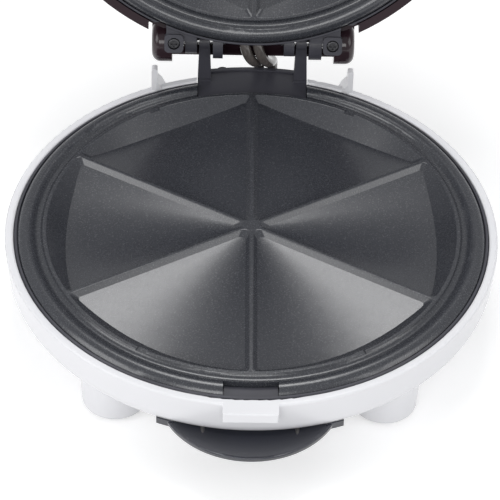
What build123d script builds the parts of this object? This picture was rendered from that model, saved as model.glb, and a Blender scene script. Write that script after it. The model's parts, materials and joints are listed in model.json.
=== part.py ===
from build123d import *
import os
from math import atan2, cos, hypot, pi, radians, sin, sqrt, tan

os.makedirs("parts", exist_ok=True)

# Countertop quesadilla maker, lid standing open.
# Millimetres. +Z up, +Y towards the hinge, +X to the right seen from the front.
# Origin: on the table, at the centre of the four feet.
# The lid is drawn shut, over the base, and is then turned open about the hinge axis.

# ---------------------------------------------------------------- driving dimensions
# Heights above the table
RIM_Z = 50.0                # cooking rim of the lower plate
PLATE_GAP = 1.0             # left between the two cooking rims when the lid is shut
OPEN_ANGLE = 110.0          # lid opening at rest, degrees
HINGE_BEHIND = 5.4          # hinge axis behind the plates' edge
HINGE_RISE = 22.0           # hinge axis above the cooking rim

# Cooking plates: die-cast, six wedge pockets
PLATE_RADIUS = 124.6
RIM_RADIUS = 109.3          # inner edge of the raised cooking rim
RIM_WIDTH = 2.0
RIM_CREST_ROUND = 0.7
VALLEY_RADIUS = 113.9       # drip groove between the rim and the bead
VALLEY_DEPTH = 2.1
BEAD_RADIUS = 119.3         # crest of the rounded bead
BEAD_RISE = 0.3
BEAD_FOOT = 116.6
BEAD_FOOT_DEPTH = 0.6
EDGE_DROP = 2.6             # plate's outer edge below the cooking rim
FLANGE_UNDER = 4.4          # underside of the flange below the cooking rim
BODY_RADIUS = 111.0         # cast body below the flange
BODY_DEPTH = 12.4           # underside of the body below the cooking rim
CORE_RADIUS = 56.0          # shallow recess in the middle of the underside
CORE_DEPTH = 7.6
POCKETS = 6
RIDGE_WIDTH = 1.8           # ridge between pockets, at the top
RIDGE_FOOT_WIDTH = 4.8
POCKET_SIDE_DEPTH = 1.8     # floor beside a ridge
POCKET_DEPTH = 9.2          # floor at the outer wall, in the middle of a pocket
POCKET_WALL_RUN = 10.2      # the outer wall leans in by this much down to that depth
POCKET_CORNER = 2.0
POCKET_TIP = 3.0
POCKET_EDGE_ROUND = 0.6
RIM_NOTCH_WIDTH = 6.0       # four steam notches in the cooking rim
RIM_NOTCH_DEPTH = 0.9
RIM_NOTCH_RADIUS = 112.6
RIM_NOTCH_ANGLES = (60.0, 120.0, 240.0, 300.0)
REAR_NOTCH_HALF = 31.0      # flange left out beside the hinge bracket
REAR_NOTCH_RADIUS = 112.4
FRONT_NOTCH_HALF = 14.0     # flange left out above the latch
FRONT_NOTCH_RADIUS = 117.0

# Tubular heating element, pressed half into a groove of each plate
ELEMENT_RADIUS = 70.0
ELEMENT_TUBE = 6.5
ELEMENT_GAP = 36.0          # degrees left open at the back
ELEMENT_BEND = 8.0
ELEMENT_LEG = 3.6
GROOVE_CLEARANCE = 0.05
TERMINAL_WIDTH = 6.3
TERMINAL_THICK = 0.8
TERMINAL_LENGTH = 8.0
CLAMP_WIDTH = 10.0
CLAMP_THICK = 1.0
CLAMP_CLEARANCE = 0.3
CLAMP_ANGLES = (330.0, 210.0, 45.0, 135.0)
CLAMP_REACH = 10.5          # screw outside the element's centre line
CLAMP_SCREW_DEPTH = 2.0

# Reflector dish behind each element
REFLECTOR_RADIUS = 98.0
REFLECTOR_GAP = 0.15        # to the element's clamps
REFLECTOR_THICK = 0.6
REFLECTOR_HOLE = 26.0
REFLECTOR_LIP = 4.0
REFLECTOR_BOSS_RADIUS = 88.0
REFLECTOR_BOSS = 8.0
REFLECTOR_BOSS_ANGLES = (20.0, 160.0, 270.0)

# Heat-resistant inner frames
FRAME_CLEARANCE = 0.5       # around the plate's edge
FRAME_LIP = 1.3
FRAME_LIP_DROP = 2.3        # top of the lip below the cooking rim
FRAME_SEAT_RADIUS = 120.0
FRAME_SEAT_THICK = 3.6
PLATE_SCREW_RADIUS = 115.6
PLATE_SCREW_ANGLES = (42.0, 138.0, 222.0, 318.0)
PLATE_BOSS = 7.0
PLATE_BOSS_LENGTH = 3.2
LUG_THICK = 3.0
LUG_WIDTH = 10.0
SHELL_SCREW_INSET = 3.4     # screw's middle inside the seat's inner edge
SHELL_SCREW_ANGLES = (12.0, 168.0, 192.0, 348.0)
POST = 8.0
POST_LENGTH = 12.0

# Rear bracket and hinge arms, one moulding with the lower frame
BRACKET_HALF = 31.0
BRACKET_BEHIND = 4.8        # its rear edge outside the shells
BRACKET_DROP = 2.6          # its top below the cooking rim
BRACKET_THICK = 3.0
BRACKET_LIP = 2.4
BRACKET_LIP_RISE = 1.0
BRACKET_SKIRT = 2.4
BRACKET_BOTTOM_Z = 30.0
ARM_X = 27.3
ARM_FOOT_WIDTH = 7.6
ARM_TOP_WIDTH = 5.6
ARM_DEPTH = 9.6
ARM_BACK = 1.2              # its rear face behind the hinge axis, below the lid's cover
ARM_SILL = 1.4              # small step in front of the arm's foot
ARM_SILL_HIGH = 1.2
ARM_EYE = 5.2               # radius of the arm's top around the pin
PIN = 4.0
PIN_CLEARANCE = 0.05
PIN_INNER_X = 15.6
PIN_OUTER_X = 38.9
PIN_HEAD = 6.4
PIN_HEAD_THICK = 1.2

KNUCKLE_WEB = 12.0          # web ahead of the hinge axis
ARM_SIDE_CLEARANCE = 0.8
ARM_FRONT_CLEARANCE = 1.0
LEAD_WINDOW = 14.0          # half width of the opening for the leads

# Lid knuckles: x from, x to, radius about the hinge axis
KNUCKLES = (
    (-38.2, -31.6, 7.3),
    (-22.6, -17.0, 9.9),
    (17.4, 23.2, 8.1),
    (31.5, 38.6, 9.9),
)

# Shells
SHELL_WALL = 2.6
RIM_WALL = 4.7              # the walls are thicker at their rims
RIM_FLANGE = 3.2            # height of the thick part
SHELL_CLEARANCE = 0.4       # between the frames and the shells' rims
RIM_ROUND = 1.25
RIM_DROP = 2.0              # shell rim below the cooking rim
WALL_TAPER = 1.0            # the wall leans in by this much towards its foot
WALL_FOOT_Z = 33.0
UNDER_ROUND = 10.0          # radius that turns the wall under
PAN_INSET = 27.5            # edge of the flat pan inside the shell's radius
PAN_Z = 12.0
RIM_END_HALF = 31.6         # white rim stops beside the bracket
EAR_OUTER_X = 57.0
EAR_THICK = 3.4
EAR_RISE = 13.1             # ear tip above the cooking rim
EAR_FRONT = 15.4            # ear's front edge ahead of the hinge axis
EAR_DEPTH = 12.0
EAR_TIP_DEPTH = 4.0
EAR_FLARE = 5.0
CATCH_HALF = 14.0
CATCH_REACH = 6.1           # beyond the shell's radius
CATCH_ROUND = 1.2
CATCH_LIP = 2.6
CATCH_DROP = 5.8
CATCH_THICK = 2.4

# Feet
FOOT_X = 70.0
FOOT_Y = 82.0
FOOT_TOP_RADIUS = 18.6
FOOT_BOTTOM_RADIUS = 17.2
FOOT_ROUND = 2.0
FOOT_WALL = 2.4
PAD_RADIUS = 12.0
PAD_THICK = 3.2
PAD_PROUD = 1.5

# Half-moon handles
HANDLE_RADIUS = 47.4
HANDLE_REACH = 15.6         # beyond the shell's radius
HANDLE_TOP_Z = 26.0
HANDLE_THICK = 12.0
HANDLE_EDGE = 2.0           # height of the outer edge
HANDLE_UNDERCUT = 11.4      # the underside runs in by this much below the edge
HANDLE_LIP = 1.4
HANDLE_DISH = 3.4
HANDLE_ROUND = 4.0
HANDLE_GAP = 0.15           # to the shell
HANDLE_FLANGE_HALF = 47.4
HANDLE_FLANGE_HIGH = 4.4
HANDLE_ROOT = 14.0          # inside the shell's radius
LOWER_FLANGE_INSET = 2.4    # flange's face inside the shell's radius
UPPER_FLANGE_INSET = 0.4
HANDLE_BOSS = 9.2
HANDLE_SCREW_X = 24.0
HANDLE_SCREW_Z = 22.5
HANDLE_SCREW_INSET = 25.6   # screw's seat inside the shell's radius
HANDLE_SCREW_LENGTH = 27.0

# Lid shell
LID_WALL_HEIGHT = 15.0
LID_ROUND = 17.0
LID_CROWN = 3.0             # rise of the top above the corner round
LID_WALL = 2.2
BARREL_RADIUS = 12.0        # hinge cover about the hinge axis
BARREL_WALL = 1.8
BARREL_HALF = 57.0
LOBE_INNER_X = 45.5
LOBE_ROUND = 5.0
COVER_END_ANGLE = 30.5      # the cover's rear edge above the hinge axis, degrees
COVER_FRONT = 34.0          # the cover's front end ahead of the hinge axis
EAR_CLEARANCE = 1.5
FRAME_EAR_CLEARANCE = 1.0
LID_SCREW_X = 44.4
LID_SCREW_AHEAD = 3.0       # ahead of the hinge axis
LID_SCREW_BOSS = 10.6
LID_SCREW_DROP = 5.0        # boss face above the upper cooking rim
LID_SCREW_THICK = 4.6
HEAD_PROUD = 0.3            # head of the screw beside a lobe, proud of the boss
LID_BOSS = 8.0
LID_SCREW_GRIP = 7.0        # screw in the shell's boss

# Lamps in the lid
LAMP_X = 13.0
LAMP_Y = 62.0
LAMP_RADIUS = 4.5
LAMP_PROUD = 1.6
LAMP_FLANGE = 1.2
LAMP_CLEARANCE = 0.1

# Latch clip, pivoted on the lid's front
LATCH_HALF = 15.2
LATCH_LUG_THICK = 3.0
LATCH_SIDE_CLEARANCE = 0.5
LATCH_PIN_REACH = 7.2       # pin outside the shells' radius
LATCH_PIN_RISE = 11.0       # pin above the lid shell's rim, lid shut
LATCH_PIN = 3.0
LATCH_EYE = 3.6
LATCH_THICK = 2.8
LATCH_CATCH_CLEARANCE = 0.6
LATCH_BARB = 2.6
LATCH_BARB_REACH = 2.2
LATCH_FINGER = 6.0
LATCH_CORNER = 1.4
LATCH_SWING = 50.0          # degrees from released to latched

# Leads across the hinge, in heat-resistant sleeves
LEAD = 6.0
LEAD_HOLE_CLEARANCE = 0.3
LEAD_HOLE_Z = 38.8
LEAD_HOLE_X = (3.6, 11.4)
# middle lines in the base and over the hinge (lid open)
LEAD_LEFT_BASE = ((-3.2, 92.0, 21.5), (3.6, 96.5, 22.5), (3.6, 111.5, 30.0), (3.6, 119.0, 38.4),
                  (3.6, 138.2, 38.8), (4.0, 142.8, 43.6), (4.4, 141.8, 50.8), (2.6, 131.4, 55.4),
                  (-1.6, 126.2, 62.3), (-4.8, 125.6, 71.5))
LEAD_RIGHT_BASE = ((-3.2, 84.0, 21.5), (11.4, 87.5, 21.0), (11.4, 110.0, 28.5), (11.4, 119.0, 38.4),
                   (11.4, 138.2, 38.8), (11.6, 142.8, 43.6), (11.6, 141.8, 50.8), (9.8, 131.8, 54.8),
                   (5.6, 126.6, 62.2), (2.4, 126.2, 71.5))
# middle lines inside the lid (lid drawn shut)
LEAD_LEFT_LID = ((-8.4, 113.6, 70.6), (-13.0, 92.0, 77.5), (-14.0, 72.0, 79.3))
LEAD_RIGHT_LID = ((0.4, 113.6, 70.6), (12.0, 92.0, 77.5), (14.0, 72.0, 79.3))
GLAND_X = -17.0
GLAND_Z = 38.6
GLAND_OUTER = 11.2
GLAND_NECK = 9.0
GLAND_BORE = 6.6
GLAND_FLANGE = 2.0
GLAND_PROUD = 7.0

# Controls and wiring on the base's floor and under the plate
WIRE = 2.6
BLOCK_X = -20.0
BLOCK_Y = 88.0
BLOCK_LONG = 30.0
BLOCK_WIDE = 16.0
BLOCK_HIGH = 14.0
BLOCK_STEP = 4.0
BLOCK_CLAMP_X = (-24.5, -15.5)
THERMOSTAT_RADIUS = 12.5
THERMOSTAT_CAP_RADIUS = 8.0
THERMOSTAT_STRIP_HALF = 22.0
THERMOSTAT_STRIP_WIDTH = 9.0
THERMOSTAT_STRIP_THICK = 1.0
THERMOSTAT_SCREW_X = 18.0
THERMOSTAT_BODY_Z = 26.0
THERMOSTAT_CAP_Z = 38.0
THERMOSTAT_TAB_X = 6.0
FUSE_RADIUS = 2.0
FUSE_LENGTH = 12.0
FUSE_Y = -42.0
FUSE_CLIP_THICK = 0.6
FUSE_CLIP_HALF = 4.0
FUSE_SCREW_AHEAD = 6.6
SHALLOW_SCREW = 2.6         # depth of the small screws in the casting
FUSE_WIRE = ((-28.0, 79.4, 22.0), (-33.0, 50.0, 19.0), (-29.0, 0.0, 19.4), (-15.0, -16.0, 24.0),
             (-16.0, -17.5, 37.0), (-14.0, -36.0, 38.4), (-7.2, -42.0, 40.3))
BRIDGE_WIRE = ((7.2, -42.0, 40.3), (14.0, -36.0, 38.4), (16.0, -17.5, 37.0), (15.0, -14.0, 23.4),
               (6.2, -2.1, 21.4))
SWITCHED_WIRE = ((-6.2, 2.1, 21.4), (-10.0, 30.0, 19.0), (-13.8, 66.8, 20.6))
RETURN_WIRE = ((-9.0, 79.2, 22.5), (-8.6, 75.4, 20.6), (12.6, 71.2, 20.8))

# Lamp holder under the lid's top
HOLDER_HALF = 31.0
HOLDER_WIDTH = 14.0
HOLDER_TOP_Z = 82.4
HOLDER_HEIGHT = 9.6
HOLDER_TAB = 2.4
HOLDER_SCREW_X = 27.0
HOLDER_POST = 7.0
NEON_RADIUS = 3.0
NEON_CLEARANCE = 0.1
LENS_FLANGE = 1.4
LAMP_WIRE_LEFT = ((-13.0, -62.0, 71.9), (-13.4, -50.0, 71.2), (-14.4, 40.0, 71.9), (-13.8, 66.8, 79.8))
LAMP_WIRE_RIGHT = ((13.0, -62.0, 71.9), (13.4, -50.0, 71.2), (14.4, 40.0, 71.9), (13.8, 66.8, 79.8))

# Fasteners
SCREW = 3.0
SCREW_HEAD = 6.4
SCREW_HEAD_THICK = 2.2
SCREW_CLEARANCE = 0.05
HEAD_CLEARANCE = 0.25       # around a sunk screw head
HEAD_SINK = 0.5             # sunk head below the frame's seat
CROSS_WIDTH = 0.9
CROSS_LENGTH = 3.8
CROSS_DEPTH = 1.2

# ---------------------------------------------------------------- derived places
HINGE_Y = PLATE_RADIUS + HINGE_BEHIND
HINGE_Z = RIM_Z + HINGE_RISE
UPPER_RIM_Z = RIM_Z + PLATE_GAP
MIRROR_Z = RIM_Z + PLATE_GAP / 2
SHELL_RIM_Z = RIM_Z - RIM_DROP
LID_RIM_Z = UPPER_RIM_Z + RIM_DROP
FRAME_SEAT_Z = RIM_Z - FLANGE_UNDER
FRAME_INNER_LIP = PLATE_RADIUS + FRAME_CLEARANCE
FRAME_OUTER = FRAME_INNER_LIP + FRAME_LIP
SHELL_INNER = FRAME_OUTER + SHELL_CLEARANCE
SHELL_RADIUS = SHELL_INNER + RIM_WALL
SHELL_SCREW_RADIUS = FRAME_SEAT_RADIUS - SHELL_SCREW_INSET
WALL_FOOT_RADIUS = SHELL_RADIUS - WALL_TAPER
PAN_RADIUS = SHELL_RADIUS - PAN_INSET
BRACKET_RADIUS = SHELL_RADIUS + BRACKET_BEHIND
CATCH_RADIUS = SHELL_RADIUS + CATCH_REACH
LATCH_PIN_Y = -(SHELL_RADIUS + LATCH_PIN_REACH)
LATCH_PIN_Z = LID_RIM_Z + LATCH_PIN_RISE
LID_WALL_TOP_Z = LID_RIM_Z + LID_WALL_HEIGHT
PLATE_UNDER_Z = RIM_Z - BODY_DEPTH
REFLECTOR_DEPTH = (BODY_DEPTH + ELEMENT_TUBE / 2 + CLAMP_CLEARANCE + CLAMP_THICK
                   + REFLECTOR_GAP + REFLECTOR_THICK)
REFLECTOR_Z = RIM_Z - REFLECTOR_DEPTH
BRACKET_Z = RIM_Z - BRACKET_DROP
HANDLE_CENTRE_Y = HANDLE_RADIUS - SHELL_RADIUS - HANDLE_REACH
HANDLE_SCREW_Y = -(SHELL_RADIUS - HANDLE_SCREW_INSET)
EAR_FRONT_Y = HINGE_Y - EAR_FRONT
LID_SCREW_Y = HINGE_Y - LID_SCREW_AHEAD
CATCH_LIP_Z = SHELL_RIM_Z - CATCH_DROP
FLOOR_Z = PAN_Z + SHELL_WALL
CORE_Z = RIM_Z - CORE_DEPTH
LAMP_FLANGE_Z = HOLDER_TOP_Z + 0.4
HINGE_AXIS = Axis((0, HINGE_Y, HINGE_Z), (1, 0, 0))


# ---------------------------------------------------------------- helpers
def face_of(*edges):
    return make_face(Curve() + list(edges))


def polygon(*points):
    return make_face(Polyline(*points, close=True))


def turned(section):
    """A section drawn in radius and height, turned about the Z axis."""
    return revolve(Plane.XZ * section, axis=Axis.Z)


def turned_polygon(*points):
    return turned(polygon(*points))


def block(x0, x1, y0, y1, z0, z1):
    return Pos((x0 + x1) / 2, (y0 + y1) / 2, (z0 + z1) / 2) * Box(x1 - x0, y1 - y0, z1 - z0)


def rod(x, y, z0, z1, radius):
    return Pos(x, y, (z0 + z1) / 2) * Cylinder(radius, z1 - z0)


def cross_rod(x0, x1, y, z, radius):
    return Pos((x0 + x1) / 2, y, z) * Rot(0, 90, 0) * Cylinder(radius, x1 - x0)


def side_profile(section, x0, x1):
    """A section drawn in Y and Z, thickened from x0 to x1."""
    return extrude(Plane.YZ.offset(x0) * section, x1 - x0)


def around(radius, angle):
    return radius * cos(radians(angle)), radius * sin(radians(angle))


def joined(pieces):
    whole = pieces[0]
    for piece in pieces[1:]:
        whole = whole + piece
    return whole


def lidded(shape):
    """Turns a piece drawn on the shut lid to its open place at rest."""
    return shape.rotate(HINGE_AXIS, -OPEN_ANGLE)


def mirrored_up(shape):
    """The lid's copy of a piece, or of a group of separate pieces, drawn in the base."""
    copies = [solid.mirror(Plane.XY.offset(MIRROR_Z)) for solid in shape.solids()]
    return copies[0] if len(copies) == 1 else Compound(children=copies)


def screw(length, tip_up=True):
    """Pan-head screw with a cross recess. Its head's seat is at the origin."""
    head = Pos(0, 0, -SCREW_HEAD_THICK / 2) * Cylinder(SCREW_HEAD / 2, SCREW_HEAD_THICK)
    head = fillet(head.edges().group_by(Axis.Z)[0], SCREW_HEAD_THICK * 0.4)
    recess_z = -SCREW_HEAD_THICK + CROSS_DEPTH / 2
    for turn in (0, 90):
        head = head - Pos(0, 0, recess_z) * Rot(0, 0, turn) * Box(CROSS_LENGTH, CROSS_WIDTH, CROSS_DEPTH)
    shank = Pos(0, 0, length / 2) * Cylinder(SCREW / 2, length)
    whole = head + shank
    return whole if tip_up else whole.rotate(Axis.X, 180)


def tube_along(points, diameter, share=0.45):
    """A round tube on straight runs joined by tangent arcs, as large as the runs allow."""
    runs = [(Vector(*b) - Vector(*a)) for a, b in zip(points, points[1:])]
    radii = []
    for before, after in zip(runs, runs[1:]):
        turn = before.get_angle(after)
        shorter = min(before.length, after.length)
        radii.append(share * shorter / tan(radians(turn) / 2))
    path = FilletPolyline(*points, radius=radii)
    section = Plane(origin=path @ 0, z_dir=path % 0) * Circle(diameter / 2)
    tube = sweep(section, path=path)
    print("tube radii", [round(r, 1) for r in radii], "length", round(path.length, 1),
          "volume share", round(tube.volume / (pi * diameter ** 2 / 4 * path.length), 4))
    return tube


def save(node, shape):
    export_step(shape, f"parts/{node}.step")
    print(node, len(shape.solids()))


# ---------------------------------------------------------------- cooking plates
def pocket_floor_solid():
    """Everything above one pocket's floor: a trough that deepens outwards along +X."""
    foot_radius = RIM_RADIUS - POCKET_WALL_RUN
    sections = []
    for x in (RIDGE_WIDTH / 2, RIM_RADIUS + RIM_WIDTH):
        half = x * tan(radians(180.0 / POCKETS))
        low = -POCKET_SIDE_DEPTH - (POCKET_DEPTH - POCKET_SIDE_DEPTH) * x / foot_radius
        sections.append((Plane.YZ.offset(x) * face_of(
            ThreePointArc((-half, -POCKET_SIDE_DEPTH), (0, low), (half, -POCKET_SIDE_DEPTH)),
            Line((half, -POCKET_SIDE_DEPTH), (half, 1)),
            Line((half, 1), (-half, 1)),
            Line((-half, 1), (-half, -POCKET_SIDE_DEPTH)),
        )).face())
    return loft(sections, ruled=True)


def pocket_outline(side_offset, outer_radius):
    """One wedge, pointing along +X, bounded by two ridges and an outer arc."""
    half = 180.0 / POCKETS
    reach = outer_radius * 2
    ridge_shift = side_offset / sin(radians(half))
    wedge = polygon(
        (ridge_shift, 0),
        (ridge_shift + reach, reach * tan(radians(half))),
        (ridge_shift + reach, -reach * tan(radians(half))),
    )
    outline = wedge & Circle(outer_radius)
    corners = outline.vertices().sort_by(Axis.X)
    outline = fillet(corners[-2:], POCKET_CORNER)
    tip = outline.vertices().sort_by(Axis.X)[0]
    return fillet(tip, POCKET_TIP)


def pocket_cutter():
    """A pocket's walls: from the rim down past the floor."""
    deep = POCKET_DEPTH + 1
    ridge_slope = (RIDGE_FOOT_WIDTH - RIDGE_WIDTH) / 2 / POCKET_SIDE_DEPTH
    wall_slope = POCKET_WALL_RUN / POCKET_DEPTH
    top = pocket_outline(RIDGE_WIDTH / 2, RIM_RADIUS)
    foot = pocket_outline(RIDGE_WIDTH / 2 + ridge_slope * deep, RIM_RADIUS - wall_slope * deep)
    return loft([top.face(), (Pos(0, 0, -deep) * foot).face()], ruled=True)


def edges_at_rim(body):
    return [e for e in body.edges()
            if abs(e.bounding_box().min.Z) < 0.01 and abs(e.bounding_box().max.Z) < 0.01]


def cooking_plate(rear_notch):
    """Face up, with the cooking rim at height 0."""
    body = turned(face_of(
        Line((0, 0), (RIM_RADIUS + RIM_WIDTH, 0)),
        ThreePointArc(
            (RIM_RADIUS + RIM_WIDTH, 0),
            (VALLEY_RADIUS, -VALLEY_DEPTH),
            (BEAD_FOOT, -BEAD_FOOT_DEPTH),
        ),
        ThreePointArc(
            (BEAD_FOOT, -BEAD_FOOT_DEPTH),
            (BEAD_RADIUS, BEAD_RISE),
            (PLATE_RADIUS, -EDGE_DROP),
        ),
        Line((PLATE_RADIUS, -EDGE_DROP), (PLATE_RADIUS, -FLANGE_UNDER)),
        Line((PLATE_RADIUS, -FLANGE_UNDER), (BODY_RADIUS, -FLANGE_UNDER)),
        Line((BODY_RADIUS, -FLANGE_UNDER), (BODY_RADIUS, -BODY_DEPTH)),
        Line((BODY_RADIUS, -BODY_DEPTH), (CORE_RADIUS, -BODY_DEPTH)),
        Line((CORE_RADIUS, -BODY_DEPTH), (CORE_RADIUS, -CORE_DEPTH)),
        Line((CORE_RADIUS, -CORE_DEPTH), (0, -CORE_DEPTH)),
        Line((0, -CORE_DEPTH), (0, 0)),
    ))
    crest = [e for e in edges_at_rim(body) if hypot((e @ 0).X, (e @ 0).Y) > RIM_RADIUS + RIM_WIDTH / 2]
    body = fillet(crest, RIM_CREST_ROUND)
    pocket = pocket_cutter() & pocket_floor_solid()
    for n in range(POCKETS):
        body = body - pocket.rotate(Axis.Z, n * 360.0 / POCKETS)
    brink = [e for e in edges_at_rim(body) if hypot((e @ 0).X, (e @ 0).Y) < RIM_RADIUS + 0.1]
    body = fillet(brink, POCKET_EDGE_ROUND)
    for angle in RIM_NOTCH_ANGLES:
        notch = block(RIM_RADIUS - 1, RIM_NOTCH_RADIUS, -RIM_NOTCH_WIDTH / 2, RIM_NOTCH_WIDTH / 2,
                      -RIM_NOTCH_DEPTH, 1)
        body = body - notch.rotate(Axis.Z, angle)
    reach = PLATE_RADIUS + 5
    body = body - (block(-FRONT_NOTCH_HALF, FRONT_NOTCH_HALF, -reach, 0, -FLANGE_UNDER - 1, 2)
                   - Cylinder(FRONT_NOTCH_RADIUS, 40))
    if rear_notch:
        body = body - (block(-REAR_NOTCH_HALF, REAR_NOTCH_HALF, 0, reach, -FLANGE_UNDER - 1, 2)
                       - Cylinder(REAR_NOTCH_RADIUS, 40))
    for angle in PLATE_SCREW_ANGLES:
        x, y = around(PLATE_SCREW_RADIUS, angle)
        body = body + rod(x, y, -FLANGE_UNDER - PLATE_BOSS_LENGTH, -FLANGE_UNDER + 0.5, PLATE_BOSS / 2)
        body = body - rod(x, y, -FLANGE_UNDER - PLATE_BOSS_LENGTH - 1, -FLANGE_UNDER + 1.2,
                          SCREW / 2 + SCREW_CLEARANCE)
    for angle in REFLECTOR_BOSS_ANGLES:
        x, y = around(REFLECTOR_BOSS_RADIUS, angle)
        body = body + rod(x, y, -REFLECTOR_DEPTH + REFLECTOR_THICK, -BODY_DEPTH + 0.5, REFLECTOR_BOSS / 2)
        body = body - rod(x, y, -REFLECTOR_DEPTH - 1, -BODY_DEPTH + 0.2, SCREW / 2 + SCREW_CLEARANCE)
    groove = Pos(0, 0, -BODY_DEPTH) * Torus(ELEMENT_RADIUS, ELEMENT_TUBE / 2 + GROOVE_CLEARANCE)
    body = body - groove
    for x, y in clamp_screw_places():
        body = body - rod(x, y, -BODY_DEPTH - 1, -BODY_DEPTH + CLAMP_SCREW_DEPTH, SCREW / 2 + SCREW_CLEARANCE)
    if rear_notch:
        for x, y in small_screw_places():
            body = body - rod(x, y, -BODY_DEPTH, -CORE_DEPTH + SHALLOW_SCREW, SCREW / 2 + SCREW_CLEARANCE)
    return body


def small_screw_places():
    """Screws of the thermostat and of the fuse clip, in the lower plate's core."""
    return [(-THERMOSTAT_SCREW_X, 0), (THERMOSTAT_SCREW_X, 0), (0, FUSE_Y + FUSE_SCREW_AHEAD)]


# ---------------------------------------------------------------- heating elements
def clamp_screw_places():
    return [around(ELEMENT_RADIUS + CLAMP_REACH, angle) for angle in CLAMP_ANGLES]


def element_end_angle(side):
    return 90.0 + side * ELEMENT_GAP / 2


def heating_element():
    """Open ring with its two ends bent down, in the base."""
    z = PLATE_UNDER_Z
    ring_plane = Plane(origin=(ELEMENT_RADIUS, 0, z), z_dir=(0, 1, 0))
    ring = revolve(ring_plane * Circle(ELEMENT_TUBE / 2), axis=Axis.Z, revolution_arc=360.0 - ELEMENT_GAP)
    ring = ring.rotate(Axis.Z, 90.0 + ELEMENT_GAP / 2)
    whole = ring
    for side in (-1, 1):
        angle = element_end_angle(side)
        x, y = around(ELEMENT_RADIUS, angle)
        along = Vector(sin(radians(angle)), -cos(radians(angle)), 0) * side
        end = Plane(origin=(x, y, z), z_dir=along)
        across = along.cross(Vector(0, 0, -1))
        pivot = Vector(x, y, z - ELEMENT_BEND)
        bend = revolve(end * Circle(ELEMENT_TUBE / 2), axis=Axis(pivot, across), revolution_arc=90)
        foot = pivot + along * ELEMENT_BEND
        leg = rod(foot.X, foot.Y, foot.Z - ELEMENT_LEG, foot.Z, ELEMENT_TUBE / 2)
        whole = whole + bend + leg
    return whole


def element_foot(side):
    """Middle of the lower end of one leg."""
    angle = element_end_angle(side)
    x, y = around(ELEMENT_RADIUS, angle)
    along = Vector(sin(radians(angle)), -cos(radians(angle)), 0) * side
    return Vector(x, y, PLATE_UNDER_Z - ELEMENT_BEND - ELEMENT_LEG) + along * ELEMENT_BEND


def element_terminals():
    """Flat push-on tabs at the ends of the element."""
    tabs = []
    for side in (-1, 1):
        foot = element_foot(side)
        collar = rod(foot.X, foot.Y, foot.Z - 1.5, foot.Z, ELEMENT_TUBE / 2 - 0.6)
        tab = block(foot.X - TERMINAL_WIDTH / 2, foot.X + TERMINAL_WIDTH / 2,
                    foot.Y - TERMINAL_THICK / 2, foot.Y + TERMINAL_THICK / 2,
                    foot.Z - 1.4 - TERMINAL_LENGTH, foot.Z - 1.4)
        tabs.append(collar + tab)
    return Compound(children=tabs)


def element_clamps():
    """Saddle straps over the element, screwed to the plate."""
    straps = []
    z = PLATE_UNDER_Z
    saddle = ELEMENT_TUBE / 2
    half = CLAMP_WIDTH / 2
    for angle in CLAMP_ANGLES:
        over = side_profile(Circle(saddle + CLAMP_CLEARANCE + CLAMP_THICK), -half, half)
        over = over - side_profile(Circle(saddle + CLAMP_CLEARANCE), -half - 1, half + 1)
        over = over - block(-half - 1, half + 1, -20, 20, 0, 20)
        foot = block(-half, half, saddle + CLAMP_CLEARANCE + 0.1, CLAMP_REACH + 4.5, -CLAMP_THICK, 0)
        foot = foot - rod(0, CLAMP_REACH, -5, 5, SCREW / 2 + SCREW_CLEARANCE)
        strap = over + foot
        strap = strap.rotate(Axis.Z, angle - 90)
        x, y = around(ELEMENT_RADIUS, angle)
        straps.append(Pos(x, y, z) * strap)
    return Compound(children=straps)


def element_clamp_screws():
    seat = PLATE_UNDER_Z - CLAMP_THICK
    return Compound(children=[
        Pos(x, y, seat) * screw(CLAMP_SCREW_DEPTH + CLAMP_THICK - 0.3) for x, y in clamp_screw_places()
    ])


def reflector():
    top = REFLECTOR_Z + REFLECTOR_THICK
    lip_radius = REFLECTOR_RADIUS + REFLECTOR_LIP
    dish = turned_polygon(
        (REFLECTOR_HOLE, REFLECTOR_Z),
        (REFLECTOR_RADIUS, REFLECTOR_Z),
        (lip_radius, PLATE_UNDER_Z - 0.3 - REFLECTOR_THICK),
        (lip_radius, PLATE_UNDER_Z - 0.3),
        (REFLECTOR_RADIUS - 0.4, top),
        (REFLECTOR_HOLE, top),
    )
    for side in (-1, 1):
        foot = element_foot(side)
        dish = dish - rod(foot.X, foot.Y, 0, 60, ELEMENT_TUBE / 2 + 2)
    for angle in REFLECTOR_BOSS_ANGLES:
        x, y = around(REFLECTOR_BOSS_RADIUS, angle)
        dish = dish - rod(x, y, 0, 60, SCREW / 2 + SCREW_CLEARANCE)
    for x, y in clamp_screw_places():
        dish = dish - rod(x, y, 0, REFLECTOR_Z + 2, SCREW_HEAD / 2 + 0.8)
    return dish


def reflector_screws():
    length = REFLECTOR_DEPTH - BODY_DEPTH - 0.2
    places = [around(REFLECTOR_BOSS_RADIUS, angle) for angle in REFLECTOR_BOSS_ANGLES]
    return Compound(children=[Pos(x, y, REFLECTOR_Z) * screw(length) for x, y in places])


# ---------------------------------------------------------------- inner frames
def lug_z():
    """Underside of the plate's screw bosses, where the frame's lugs begin."""
    return FRAME_SEAT_Z - PLATE_BOSS_LENGTH


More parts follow.
